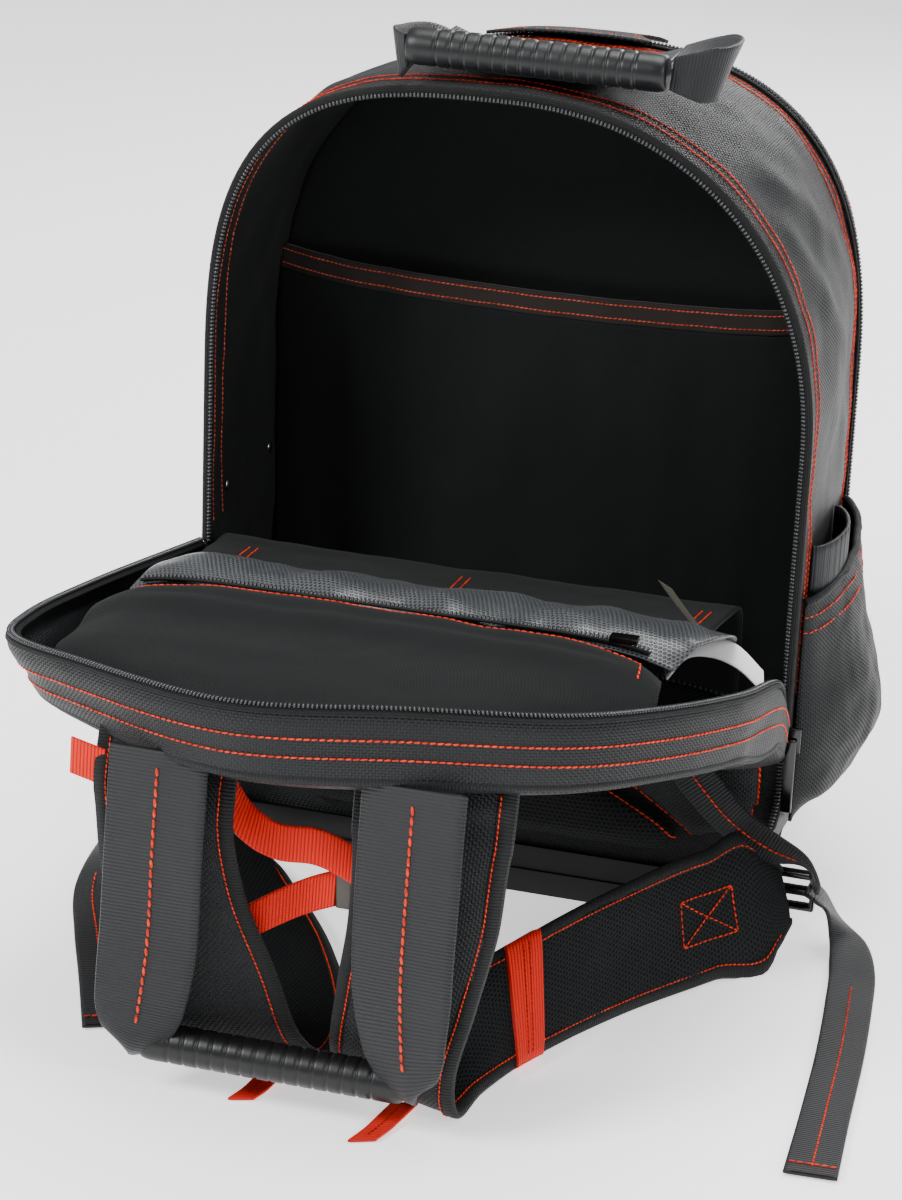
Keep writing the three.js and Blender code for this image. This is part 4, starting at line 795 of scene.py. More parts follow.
def cloth(name, grid, material, thickness, facing, offset=0.0, inner=None, relief=None,
          loop=False, caps=False, level=0):
    """A sheet of cloth through rows of points in millimetres. facing says towards which direction, or
    away from which point, its outer face looks; relief gives the height of its folds at a point."""
    rows, columns = len(grid), len(grid[0])
    bm = bmesh.new()
    bmesh.ops.create_grid(bm, x_segments=columns - 1, y_segments=rows - 1, size=0.5)
    bm.verts.ensure_lookup_table()
    middle_row = lengths_of(grid[rows // 2])
    middle_column = lengths_of([row[columns // 2] for row in grid])
    layer = bm.loops.layers.uv.new("UVMap")
    numbers = {}
    for vert in bm.verts:
        j = round((vert.co.x + 0.5) * (columns - 1))
        i = round((vert.co.y + 0.5) * (rows - 1))
        numbers[vert.index] = (i, j)
        vert.co = grid[i][j]
    for face in bm.faces:
        for corner in face.loops:
            i, j = numbers[corner.vert.index]
            corner[layer].uv = (middle_row[j] * MM, middle_column[i] * MM)
    if loop or caps:
        bmesh.ops.remove_doubles(bm, verts=bm.verts, dist=0.01)
    if caps:
        rims = [edge for edge in bm.edges if edge.is_boundary]
        bmesh.ops.edgeloop_fill(bm, edges=rims)
    bm.normal_update()
    seen = 0.0
    for face in bm.faces:
        towards = face.calc_center_median() - facing[1] if facing[0] == "away" else facing[1]
        seen += face.normal.dot(towards) * face.calc_area()
    if seen < 0:
        bmesh.ops.reverse_faces(bm, faces=bm.faces)
        bm.normal_update()
    if relief:
        moves = [(vert, vert.normal * relief(vert.co)) for vert in bm.verts]
        for vert, move in moves:
            vert.co += move
    for vert in bm.verts:
        vert.co.z = max(vert.co.z, FLOOR_GAP + thickness / 2)
        vert.co = at(vert.co)
    made = object_from(name, bm, material, *([inner] if inner else []))
    if level:
        finer = made.modifiers.new("Finer", "SUBSURF")
        finer.levels = finer.render_levels = level
    if thickness:
        wall = made.modifiers.new("Thickness", "SOLIDIFY")
        wall.thickness = thickness * MM
        wall.offset = offset
        wall.material_offset = 1 if inner else 0
    return made


AWAY, TOWARDS = "away", "towards"


def run_frames(run, scale, pitch):
    """Evenly spaced places along a strap: centre, cross direction, face direction and width share."""
    centres = [share_place(row[0], row[1], row[2], scale) for row in run]
    turns = [Vector((row[4], row[5], row[3])) for row in run]
    fine = 240
    points = [curve(centres, i / fine) for i in range(fine + 1)]
    total = lengths_of(points)
    count = max(2, round(total[-1] / pitch))
    frames, j = [], 0
    for i in range(count + 1):
        goal = total[-1] * i / count
        while j < fine - 1 and total[j + 1] < goal:
            j += 1
        gap = total[j + 1] - total[j]
        share = (j + ((goal - total[j]) / gap if gap > 0 else 0)) / fine
        centre, turn = curve(centres, share), curve(turns, share)
        step = 1 / fine
        along = (curve(centres, min(1, share + step)) - curve(centres, max(0, share - step))).normalized()
        heading, tilt = math.radians(turn.x), math.radians(turn.y)
        level = math.cos(tilt)
        cross = Vector((math.cos(heading) * level, math.sin(heading) * level, math.sin(tilt)))
        face = along.cross(cross).normalized()
        frames.append((centre, cross, face, turn.z, goal))
    return frames


def turned_out(piece):
    """Turns every face of a closed piece outwards."""
    bm = bmesh.new()
    bm.from_mesh(piece.data)
    bmesh.ops.recalc_face_normals(bm, faces=bm.faces)
    bm.to_mesh(piece.data)
    bm.free()


def band(name, frames, width, section, material, inner=None, relief=None, rib=0.0, curl=0.0):
    """A closed strap: section lists (across, height) round its cross section, across from -1 to 1 of half its
    width and height in millimetres; every second row stands up by rib, and curl rolls narrowed ends back."""
    grid = []
    for k, (centre, cross, face, share, _) in enumerate(frames):
        rise = rib if k % 2 else -rib
        row = []
        gathered = curl * max(0, 0.95 - share) * width
        for a, height in section + section[:1]:
            lift = height + math.copysign(rise, height) * (1 - abs(a) ** 8)
            lift -= gathered * (abs(a) ** 1.6 - 0.3)
            row.append(centre + cross * (a * width * share / 2) + face * lift)
        grid.append(row)
    made = cloth(name, grid, material, 0, (AWAY, Vector((0, 0, 0))), relief=relief, loop=True, caps=True)
    turned_out(made)
    if inner:
        made.data.materials.append(inner)
        for face in made.data.polygons:
            centre = (face.center - ORIGIN) / MM
            nearest = min(frames, key=lambda one: (one[0] - centre).length_squared)
            face.material_index = 1 if face.normal.dot(nearest[2]) < -0.2 else 0
    return made


def flat_section(thickness):
    """Cross section of webbing with rounded selvedges."""
    half, columns = thickness / 2, 12
    top = [(-0.98 + 1.96 * i / columns, half) for i in range(columns + 1)]
    return top + [(1, 0)] + [(a, -h) for a, h in reversed(top)] + [(-1, 0)]


def padded_section(thickness, edge=0.42):
    """Cross section of a padded strap: full in the middle, thin at its bound edges."""
    half, columns = thickness / 2, 16
    top = []
    for i in range(columns + 1):
        a = -1 + 2 * i / columns
        top.append((a, half * (edge + (1 - edge) * (1 - abs(a) ** 5) ** 0.8)))
    return top + [(a, -h) for a, h in reversed(top)]


def tree_of(*pieces):
    """Search trees over finished pieces, their modifiers included."""
    graph = bpy.context.evaluated_depsgraph_get()
    return [BVHTree.FromObject(piece, graph) for piece in pieces]


def spaced(points, pitch):
    """Places a pitch apart along a line, with the line's direction at each."""
    total = lengths_of(points)
    count = max(1, int(total[-1] / pitch))
    found, j = [], 0
    for i in range(count):
        goal = (i + 0.5) * total[-1] / count
        while total[j + 1] < goal:
            j += 1
        t = (goal - total[j]) / max(total[j + 1] - total[j], 1e-9)
        found.append((points[j].lerp(points[j + 1], t), (points[j + 1] - points[j]).normalized()))
    return found


def seated(places, trees, lift):
    """Frames of small pieces pressed onto the nearest surface, each with its length along the line."""
    matrices = []
    for point, along in places:
        world = at(point)
        best = None
        for tree in trees:
            hit = tree.find_nearest(world, 0.03)
            if hit[0] is not None and (best is None or hit[3] < best[3]):
                best = hit
        if best is None:
            continue
        up = best[1].normalized()
        if up.dot(world - best[0]) < 0 and (world - best[0]).length > 0.0008:
            up.negate()
        side = up.cross(along).normalized()
        ahead = side.cross(up).normalized()
        turn = Matrix((ahead, side, up)).transposed().to_4x4()
        matrices.append(Matrix.Translation(best[0] + up * lift * MM) @ turn)
    return matrices


def copies(name, u_segments, v_segments, matrices, material):
    """One mesh that holds a small ball at each place; a matrix gives its place, turn and size."""
    bm = bmesh.new()
    bmesh.ops.create_uvsphere(bm, u_segments=u_segments, v_segments=v_segments, radius=1)
    ball = bpy.data.meshes.new("ball")
    bm.to_mesh(ball)
    bm.free()
    count, corners, faces = len(ball.vertices), len(ball.loops), len(ball.polygons)
    points = numpy.empty(count * 3)
    ball.vertices.foreach_get("co", points)
    points = numpy.hstack([points.reshape(-1, 3), numpy.ones((count, 1))])
    corner_verts, starts = numpy.empty(corners, dtype=int), numpy.empty(faces, dtype=int)
    ball.loops.foreach_get("vertex_index", corner_verts)
    ball.polygons.foreach_get("loop_start", starts)
    placed = numpy.concatenate([(points @ numpy.array(matrix).T)[:, :3] for matrix in matrices])
    number = numpy.arange(len(matrices))[:, None]
    mesh = bpy.data.meshes.new(name)
    mesh.vertices.add(count * len(matrices))
    mesh.loops.add(corners * len(matrices))
    mesh.polygons.add(faces * len(matrices))
    mesh.vertices.foreach_set("co", placed.ravel())
    mesh.loops.foreach_set("vertex_index", (corner_verts + number * count).ravel())
    mesh.polygons.foreach_set("loop_start", (starts + number * corners).ravel())
    mesh.polygons.foreach_set("use_smooth", [True] * len(mesh.polygons))
    mesh.update(calc_edges=True)
    mesh.validate()
    mesh.materials.append(material)
    bpy.data.meshes.remove(ball)
    made = bpy.data.objects.new(name, mesh)
    bpy.context.scene.collection.objects.link(made)
    return made


def sewn(name, lines, on, material=orange_thread, size=1.0):
    """Rows of stitches pressed onto pieces: each stitch is one short length of thread, slanted a little."""
    trees = tree_of(*on)
    picker = random.Random(name)
    placed = []
    for line in lines:
        for matrix in seated(spaced(line, STITCH_PITCH * size), trees, STITCH_RADIUS * 0.45 * size):
            slant = Matrix.Rotation(math.radians(picker.uniform(3, 11)), 4, "Z")
            length = STITCH_LENGTH * size / 2 * picker.uniform(0.93, 1.05)
            radius = STITCH_RADIUS * size
            grow = Matrix.Diagonal((length * MM, radius * 1.1 * MM, radius * MM, 1))
            placed.append(matrix @ slant @ grow @ Matrix.Rotation(math.pi / 2, 4, "Y"))
    return dress(copies(name, 5, 5, placed, material), "binding")


def teeth(name, lines, width):
    """The coil of a zip: rounded teeth across its line. Each line comes with the way it faces, or with
    a function that gives it at a point."""
    grow = Matrix.Diagonal((TOOTH_PITCH * 0.43 * MM, width / 2 * MM, TOOTH_HEIGHT / 2 * MM, 1))
    placed = []
    for line, up in lines:
        for point, along in spaced(line, TOOTH_PITCH):
            face = Vector(up(point) if callable(up) else up).normalized()
            side = face.cross(along).normalized()
            turn = Matrix((along, side, along.cross(side))).transposed().to_4x4()
            placed.append(Matrix.Translation(at(point)) @ turn @ grow)
    return dress(copies(name, 6, 4, placed, coil_nylon), "coil")


def refined(node, name, material, slot, bevel):
    """A rigid solid with its edges rounded."""
    mesh = nodes[node].data.copy()
    bm = bmesh.new()
    bm.from_mesh(mesh)
    bmesh.ops.remove_doubles(bm, verts=bm.verts, dist=1e-6)
    bmesh.ops.dissolve_limit(bm, angle_limit=math.radians(2), verts=bm.verts, edges=bm.edges)
    made = object_from(name, bm, material)
    bpy.data.meshes.remove(mesh)
    rounder = made.modifiers.new("Rounded", "BEVEL")
    rounder.width = bevel * MM
    rounder.segments = 3
    rounder.limit_method = "ANGLE"
    rounder.angle_limit = math.radians(30)
    return dress(made, slot, node)


def declared(piece, grid, held, *rests_on):
    """Returns the piece as it is; its rows are not used."""
    return piece


def between(rows, scale=PANEL_FRAME):
    """Left and right edge points of a cross row of a sheet, by share of its length."""
    left = [share_place(row[2], row[0], row[1], scale) for row in rows]
    right = [share_place(row[3], row[0], row[1], scale) for row in rows]
    return lambda share: (curve(left, share), curve(right, share))


def spread(rows, dip, steps, columns):
    """Rows of points between the two edges of a sheet; dip lowers its ends."""
    edges = between(rows)
    grid = []
    for i in range(steps + 1):
        a, b = edges(i / steps)
        grid.append([a.lerp(b, j / columns) - Vector((0, 0, dip * abs(2 * j / columns - 1) ** 8))
                     for j in range(columns + 1)])
    return grid


def tube(name, points, radius, material, slot):
    """A round cord of cloth along a line."""
    turns = [2 * math.pi * j / 10 for j in range(11)]
    grid = []
    for i, point in enumerate(points):
        along = (points[min(i + 1, len(points) - 1)] - points[max(i - 1, 0)]).normalized()
        side = along.cross(Vector((0, 0, 1))).normalized()
        rise = side.cross(along)
        grid.append([point + side * math.cos(t) * radius + rise * math.sin(t) * radius for t in turns])
    made = cloth(name, grid, material, 0, (TOWARDS, Vector((0, 0, 1))), loop=True, caps=True)
    turned_out(made)
    return dress(made, slot)


def puffed(node, name, material, slot, cap, voxel=4.0):
    """A stuffed pad: the solid's form, swollen by cloth pressure, its points held to a cap in millimetres."""
    mesh = nodes[node].data.copy()
    bm = bmesh.new()
    bm.from_mesh(mesh)
    bmesh.ops.remove_doubles(bm, verts=bm.verts, dist=1e-6)
    made = object_from(name, bm, material)
    bpy.data.meshes.remove(mesh)
    apply_modifier(made, "REMESH", mode="VOXEL", voxel_size=voxel * MM, use_smooth_shade=True)
    apply_modifier(made, "SMOOTH", factor=0.5, iterations=3)
    start = [vert.co.copy() for vert in made.data.vertices]
    puff = made.modifiers.new("Puff", "CLOTH")
    puff.settings.use_pressure = True
    puff.settings.uniform_pressure_force = 4
    puff.settings.effector_weights.gravity = 0
    puff.settings.quality = 4
    puff.settings.tension_stiffness = 15
    puff.point_cache.frame_start = 1
    puff.point_cache.frame_end = 20
    for number in range(1, 21):
        bpy.context.scene.frame_set(number)
    made = bake(made)
    bpy.context.scene.frame_set(1)
    for vert, origin in zip(made.data.vertices, start):
        move = vert.co - origin
        if move.length > cap * MM:
            vert.co = origin + move.normalized() * cap * MM
    finer = made.modifiers.new("Finer", "SUBSURF")
    finer.levels = finer.render_levels = 1
    dress(made, slot, node)
    return made


def bake(piece):
    """The piece's mesh with its modifiers applied."""
    graph = bpy.context.evaluated_depsgraph_get()
    mesh = bpy.data.meshes.new_from_object(piece.evaluated_get(graph))
    piece.modifiers.clear()
    old = piece.data
    piece.data = mesh
    bpy.data.meshes.remove(old)
    return piece


def apply_modifier(piece, kind, **settings):
    made = piece.modifiers.new(kind.title(), kind)
    for key, value in settings.items():
        setattr(made, key, value)
    bake(piece)


# ---- camera
AZIMUTH = 15.5
ELEVATION = 21.3
ROLL = 2.36
DISTANCE = 2016
TARGET = (-29.5, 0, 178.7)
LENS = 103

turn, climb, roll = (math.radians(value) for value in (AZIMUTH, ELEVATION, ROLL))
back = Vector((math.sin(turn) * math.cos(climb), -math.cos(turn) * math.cos(climb), math.sin(climb)))
level = Vector((math.cos(turn), math.sin(turn), 0))
upward = back.cross(level)
camera = bpy.data.objects.new("camera", bpy.data.cameras.new("camera"))
camera.data.lens = LENS
camera.data.sensor_width = 36
camera.data.clip_start = 0.05
right_hand = level * math.cos(roll) + upward * math.sin(roll)
overhead = upward * math.cos(roll) - level * math.sin(roll)
camera.matrix_world = (Matrix.Translation(at(TARGET) + back * DISTANCE * MM)
                       @ Matrix((right_hand, overhead, back)).transposed().to_4x4())
bpy.context.scene.collection.objects.link(camera)
bpy.context.scene.camera = camera


# ---- bag: rear half with its lining, front half, seams
def depth_rows(start, end, count):
    return [mix(start, end, i / count) for i in range(count + 1)]


def ring_points(y):
    points = [Vector((x, y, z)) for x, z in ring(y)]
    return points + points[:1]


SHOULDER_FOLDS = [
    (Vector((118, 20, 472)), Vector((168, 118, 372)), 9, 2.6),
    (Vector((142, 12, 448)), Vector((176, 92, 318)), 8, 2.4),
    (Vector((165, 30, 400)), Vector((176, 120, 262)), 9, 2.0),
    (Vector((-150, 15, 440)), Vector((-184, 110, 300)), 10, 2.2),
    (Vector((-120, 30, 470)), Vector((-170, 125, 360)), 9, 2.0),
]


def wall_relief(point):
    """Soft dents of the standing cloth, nothing near the base, the rim and the side pocket."""
    rise = smooth((point.z - 60) / 60) * smooth((point.y - 3) / 12) * smooth((147 - point.y) / 12)
    height = crumple(point, 70, 1) * 2.2 + crumple(point, 26, 2) * 0.7
    for start, end, width, depth in SHOULDER_FOLDS:
        height += fold_line(point, start, end, width, depth)
    if point.x > 120:
        rise *= smooth((point.z - 225) / 30)
    return height * rise


rear_grid = [ring_points(y) for y in depth_rows(0, REAR_DEPTH, 27)]
body = cloth("body_shell", rear_grid, shell_cloth, WALL, (AWAY, Vector((0, 75, 240))), offset=-1,
             inner=lining_cloth, relief=wall_relief, loop=True, level=1)
dress(body, "shell", "body_wall")


def front_relief(point):
    rise = smooth((point.z - 50) / 50) * smooth((point.y - 162) / 10)
    return (crumple(point, 60, 3) * 1.9 + crumple(point, 24, 4) * 0.6) * rise


front_start = REAR_DEPTH + SEAM_GAP
front_end = REAR_DEPTH + FRONT_DEPTH
front_grid = [ring_points(y) for y in depth_rows(front_start, front_end, 12)]
end_ring = ring_points(front_end)
end_middle = Vector((0, front_end + 2, 225))
for share, bow in FRONT_FACE_RINGS:
    dome = Vector((0, bow - 2 * (1 - share), 0))
    front_grid.append([end_middle.lerp(point, share) + dome for point in end_ring])
front = cloth("front_pocket_case", front_grid, shell_cloth, WALL, (AWAY, Vector((0, 150, 220))), offset=-1,
              inner=lining_cloth, relief=front_relief, loop=True, level=1)
for _ in range(2):
    front.data.materials.append(front.data.materials[1])
front.data.materials[2] = shell_cloth_flat
for face in front.data.polygons:
    if (face.center.y - ORIGIN.y) / MM > front_end - 1.5:
        face.material_index = 2
dress(front, "shell", "front_case")

refined("base_tray", "moulded_base", base_plastic, "moulded", bevel=1.1)

# ---- rim zip, closed zip ends and front zip
RIM_Y = -SEAM_GAP - 1.5
FOLD_AT_RIGHT = mix(FOLD_LEFT, FOLD_RIGHT, 1.0)
FOLD_AT_LEFT = mix(FOLD_LEFT, FOLD_RIGHT, -0.02)


def rim_tape(name, first, last, node):
    """Tape of the rim's zip, its outer edge rolled over the seam, between two places of the outline."""
    rows = [(0.2, 1.2), (-0.6, 0.2), (-2, -0.3), (-4, -0.4), (-5.8, -0.3)]
    grid = []
    for grow, shift in rows:
        points = ring(0, grow)
        grid.append([Vector((points[i % RING_COUNT][0], RIM_Y + shift, points[i % RING_COUNT][1]))
                     for i in range(first, last + 1)])
    made = cloth(name, grid, zip_tape, RIM_TAPE, (TOWARDS, Vector((0, -1, 0))))
    dress(made, "coil", node)


def rim_line(grow, first, last, y):
    points = ring(0, grow)
    return [Vector((points[i % RING_COUNT][0], y, points[i % RING_COUNT][1])) for i in range(first, last + 1)]


right_fold = index_at(0, FOLD_AT_RIGHT + 6, 1)
left_fold = index_at(0, FOLD_AT_LEFT + 6, -1)
right_foot = index_at(0, 66, 1)
left_foot = index_at(0, 66, -1)
rim_tape("rim_zip_tape", right_fold, left_fold, "rim_zip")
rim_tape("closed_zip_tape_right", right_foot, right_fold - 1, "closed_zip_right")
rim_tape("closed_zip_tape_left", left_fold + 1, left_foot, "closed_zip_left")
viewer = Vector((0, -1, 0))
teeth("rim_zip_coil", [(rim_line(-4.4, right_fold, left_fold, RIM_Y - 1.3), viewer)], width=3.4)
teeth("closed_zip_coils", [
    (rim_line(-3, right_foot, right_fold - 1, RIM_Y - 1.3), viewer),
    (rim_line(-3, left_fold + 1, left_foot, RIM_Y - 1.3), viewer),
], width=4.6)

front_first = index_at(REAR_DEPTH, 68, 1)
front_last = index_at(REAR_DEPTH, 68, -1)


def seam_grid(y_from, y_to, count, grow, first, last):
    grid = []
    for y in depth_rows(y_from, y_to, count):
        grid.append(round_line(y, grow, first, last))
    return grid


front_tape = cloth("front_zip_tape", seam_grid(143.6, 156.4, 4, 1.3, front_first, front_last), zip_tape,
                   ZIP_TAPE, (AWAY, Vector((0, 150, 200))), level=1)
dress(front_tape, "coil", "front_zip")


def away_from_middle(point):
    return Vector((point.x, 0, point.z - 200))


teeth("front_zip_coil", [(round_line(REAR_DEPTH, 2.6, front_first, front_last), away_from_middle)], width=5)

# ---- divider, flat pocket and its hem
def inner_grid(y, low, high, rows, columns, grow):
    """Rows across the inside of the bag at a depth, closer together towards the arch."""
    grid = []
    for i in range(rows + 1):
        z = mix(low, high, math.sin(i / rows * math.pi / 2))
        left, right = inside_span(y, z, grow)
        grid.append([Vector((mix(left, right, j / columns), y, z)) for j in range(columns + 1)])
    return grid


def divider_relief(point):
    edge = smooth((480 - point.z) / 30) * smooth((170 - abs(point.x)) / 25)
    return (crumple(point, 80, 5) * 1.6 + crumple(point, 26, 6) * 0.35) * edge


divider_grid = inner_grid(DIVIDER_PLACE + DIVIDER_WALL / 2, 5, 484.5, 50, 40, -WALL - SEAM_GAP)
divider = cloth("divider_board", divider_grid, lining_cloth, DIVIDER_WALL, (TOWARDS, viewer),
                relief=divider_relief, level=1)
dress(divider, "lining", "divider")


def pocket_point(x, z):
    """Face of the flat pocket: it lies on the divider at its foot and sides and bulges to the opening."""
    across = x / (BODY_WIDTH * 0.53)
    lift = min(1, math.sqrt(max(0, (z - POCKET_HEIGHT * 0.1) / (POCKET_HEIGHT * 0.5))))
    sag = POCKET_HEIGHT * 0.025 * (1 - across * across) * (z / POCKET_HEIGHT)
    bulge = POCKET_BULGE * lift * (1 - abs(across) ** 5)
    return Vector((x, DIVIDER_PLACE - SEAM_GAP - HEM_THICKNESS / 2 - bulge, z - sag))


def pocket_relief(point):
    """Hang of the pocket: one long soft fold near its left side and shallow waves from its hem."""
    edge = smooth((168 - abs(point.x + 4)) / 22) * smooth((point.z - 40) / 40)
    tall = Vector((point.x * 1.6, point.y, point.z * 0.6))
    height = crumple(tall, 75, 7) * 2.0 + crumple(point, 24, 8) * 0.4
    height += fold_line(point, Vector((-122, 104, 40)), Vector((-128, 102, 350)), 8, 3.0)
    height += fold_line(point, Vector((-95, 104, 150)), Vector((-108, 102, 352)), 6, -1.6)
    height += fold_line(point, Vector((110, 104, 120)), Vector((132, 102, 352)), 12, 1.8)
    return height * edge


def pocket_grid(low, high, rows, columns):
    grid = []
    for i in range(rows + 1):
        z = mix(low, high, i / rows)
        row = []
        left, right = inside_span(DIVIDER_PLACE - 14, z, -WALL - SEAM_GAP - 1.2)
        for j in range(columns + 1):
            row.append(pocket_point(mix(left, right, j / columns), z))
        grid.append(row)
    return grid


POCKET_TOP = POCKET_HEIGHT - HEM_HEIGHT
flat_pocket_grid = pocket_grid(POCKET_HEIGHT * 0.1, POCKET_TOP, 40, 54)
flat_pocket = cloth("tablet_sleeve", flat_pocket_grid, lining_cloth, POCKET_CLOTH, (TOWARDS, viewer),
                    relief=pocket_relief, level=1)
declared(dress(flat_pocket, "lining", "tablet_pocket"), flat_pocket_grid, "hung", "divider_board")
hem_grid = pocket_grid(POCKET_TOP - 0.6, POCKET_HEIGHT, 6, 90)
hem = cloth("sleeve_hem", hem_grid, hem_tape, HEM_THICKNESS, (TOWARDS, viewer), relief=pocket_relief, level=1)
dress(hem, "binding", "pocket_hem")
hem_lines = [[pocket_point(x, z) + viewer * 5 for x in range(-178, 172, 3)]
             for z in (POCKET_TOP + 2.6, POCKET_HEIGHT - 2.8)]
sewn("hem_stitches", hem_lines, [hem], salmon_thread, size=0.85)

# ---- lower back with its lumbar pad and wings
def fold_height(x):
    return mix(FOLD_LEFT, FOLD_RIGHT, x / BODY_WIDTH + 0.5)


def lower_grid():
    grid, rows, columns = [], 20, 44
    for i in range(rows + 1):
        row = []
        for j in range(columns + 1):
            z = mix(5, 150, i / rows)
            left, right = inside_span(4, z, -WALL - SEAM_GAP)
            x = mix(left, right, j / columns)
            row.append(Vector((x, 4, mix(5, fold_height(x) - 1, i / rows))))
        grid.append(row)
    return grid


lower = cloth("lower_back_board", lower_grid(), shell_cloth, LOWER_BACK_THICKNESS, (TOWARDS, viewer),
              inner=lining_cloth, level=1)
dress(lower, "lining", "lower_back")
lumbar = puffed("lumbar_pad", "lumbar_cushion", air_mesh, "mesh", cap=3)
wing_right = puffed("corner_wing_right", "wing_right", shell_cloth_flat, "shell", cap=1.6, voxel=3)
puffed("corner_wing_left", "wing_left", shell_cloth_flat, "shell", cap=1.6, voxel=3)

# ---- opened back panel
RIM_COUNT = 150
HINGE_COUNT = 28
RING_STEPS = 4


def panel_loop():
    """Places round the panel: the zipped edge, its gusset's drop and flare, then the straight hinge."""
    tops = [share_place(row[0], row[1], row[2]) for row in PANEL_RIM]
    shapes = [Vector((row[3], row[4], 0)) for row in PANEL_RIM]
    loop = []
    for i in range(RIM_COUNT + 1):
        shape = curve(shapes, i / RIM_COUNT)
        loop.append((curve(tops, i / RIM_COUNT), shape.x * PANEL_LEVEL, 1 + shape.y))
    start, end = loop[-1], loop[0]
    for i in range(1, HINGE_COUNT):
        share = i / HINGE_COUNT
        loop.append((start[0].lerp(end[0], share), mix(start[1], end[1], share), 1))
    return loop


panel = panel_loop()
coarse = [curve([share_place(row[0], row[1], row[2]) for row in PANEL_RIM], i / 33) for i in range(34)]
coarse += [coarse[-1].lerp(coarse[0], i / 7) for i in range(1, 7)]
PANEL_MIDDLE = sum(coarse, Vector((0, 0, 0))) / len(coarse)
RIM_MIDDLE = sum(coarse[:34], Vector((0, 0, 0))) / 34


def panel_row(drop, bulge, inward, sink):
    """One ring of the panel's shell."""
    row = []
    for top, fall, flare in panel:
        outward = Vector((top.x - PANEL_MIDDLE.x, top.y - PANEL_MIDDLE.y, 0))
        reach = mix(1, flare, drop) * inward
        side = outward.normalized() * bulge if inward > 0 else Vector((0, 0, 0))
        z = mix(PANEL_MIDDLE.z, top.z, inward) - fall * drop - sink * PANEL_LEVEL
        row.append(Vector((PANEL_MIDDLE.x, PANEL_MIDDLE.y, z)) + outward * reach + side)
    return row + row[:1]


def panel_rings():
    """The rings of the solid with others eased in between them, the gusset rounder than there."""
    knots = [Vector(row[:3]) for row in PANEL_RINGS]
    sinks = [Vector((row[3], 0, 0)) for row in PANEL_RINGS]
    rows = []
    steps = (len(PANEL_RINGS) - 1) * RING_STEPS
    for i in range(steps + 1):
        knot = curve(knots, i / steps) if i % RING_STEPS else knots[i // RING_STEPS]
        sink = curve(sinks, i / steps).x
        rows.append(panel_row(min(1, max(0, knot.x)), knot.y, min(1, knot.z), sink))
    rows.append(panel_row(1, 0, 0, PANEL_RINGS[-1][3]))
    return rows


def panel_relief(point):
    out = (point - PANEL_MIDDLE)
    rim = 1.0 if math.hypot(out.x / 205, out.y / 190) > 0.9 else 0.35
    wide = Vector((point.x * 0.7, point.y * 0.7, point.z * 1.5))
    height = crumple(wide, 55, 9) * 1.1 + crumple(point, 20, 10) * 0.35
    return height * rim


panel_shell = cloth("panel_outer", panel_rings(), shell_cloth, PANEL_WALL,
                    (AWAY, PANEL_MIDDLE + Vector((0, 0, -18))), loop=True, relief=panel_relief, level=1)
dress(panel_shell, "shell", "panel_shell")


def gusset_line(below):
    """A line round the gusset a distance below the zipped edge."""
    line = []
    for top, fall, flare in panel[2:RIM_COUNT - 1]:
        drop = below / fall
        side = Vector((top.x - PANEL_MIDDLE.x, top.y - PANEL_MIDDLE.y, 0))
        reach = mix(1, flare, drop)
        line.append(Vector((PANEL_MIDDLE.x + side.x * reach, PANEL_MIDDLE.y + side.y * reach, top.z - below))
                    + side.normalized() * 4.1)
    return line


sewn("gusset_stitches", [gusset_line(below) for below in GUSSET_ROWS], [panel_shell], size=1.15)
edge_line = []
for top, fall, flare in panel[1:RIM_COUNT]:
    side = Vector((top.x - PANEL_MIDDLE.x, top.y - PANEL_MIDDLE.y, 0))
    foot = Vector((PANEL_MIDDLE.x, PANEL_MIDDLE.y, top.z - fall + 1.2))
    edge_line.append(foot + side * flare + side.normalized() * 1.6)
tube("panel_piping", edge_line, 2.3, binding_tape, "binding")


def panel_tape_grid(shifts, lift):
    grid = []
    for shift, rise in shifts:
        row = []
        for top, _, _ in panel[:RIM_COUNT + 1]:
            outward = Vector((top.x - RIM_MIDDLE.x, top.y - RIM_MIDDLE.y, 0)).normalized()
            row.append(top + outward * shift + Vector((0, 0, lift + rise)))
        grid.append(row)
    return grid


ABOVE = Vector((0, 0, 1))
tape_grid = panel_tape_grid([(2.2, -2.4), (1.8, -0.6), (0, 0.2), (-2.6, 0), (-5.6, -0.6)], 2.0)
panel_tape = cloth("panel_zip_tape", tape_grid, zip_tape, ZIP_TAPE, (TOWARDS, ABOVE))
dress(panel_tape, "coil", "panel_zip")
panel_coil_line = panel_tape_grid([(-0.4, 0)], 3.6)[0]
teeth("panel_zip_coil", [(panel_coil_line, Vector((0, 0, 1)))], width=5.2)

# ---- pocket, net and flap inside the panel
def panel_pocket_relief(point):
    height = crumple(Vector((point.x * 0.7, point.y, point.z)), 70, 11) * 2.0 + crumple(point, 22, 12) * 0.5
    edge = smooth((point.y + 320) / 30)
    return height * edge


def crease_relief(line, width, depth):
    return lambda point: math.exp(-((min((point - other).length for other in line) / width) ** 2)) * depth


pocket_edges = between(PANEL_POCKET_ROWS)
crease = []
for j in range(4, 57):
    a, b = pocket_edges(0.36)
    crease.append(a.lerp(b, j / 60))
pocket_crease = crease_relief(crease, 4.5, -1.7)
panel_pocket_grid = spread(PANEL_POCKET_ROWS, PANEL_LEVEL * 0.07, 46, 60)
panel_pocket = cloth("panel_inner_pocket", panel_pocket_grid, lining_cloth, PANEL_CLOTH, (TOWARDS, ABOVE),
                     relief=lambda p: panel_pocket_relief(p) + pocket_crease(p), level=1)
declared(dress(panel_pocket, "lining", "panel_pocket"), panel_pocket_grid, "laid", "panel_outer")


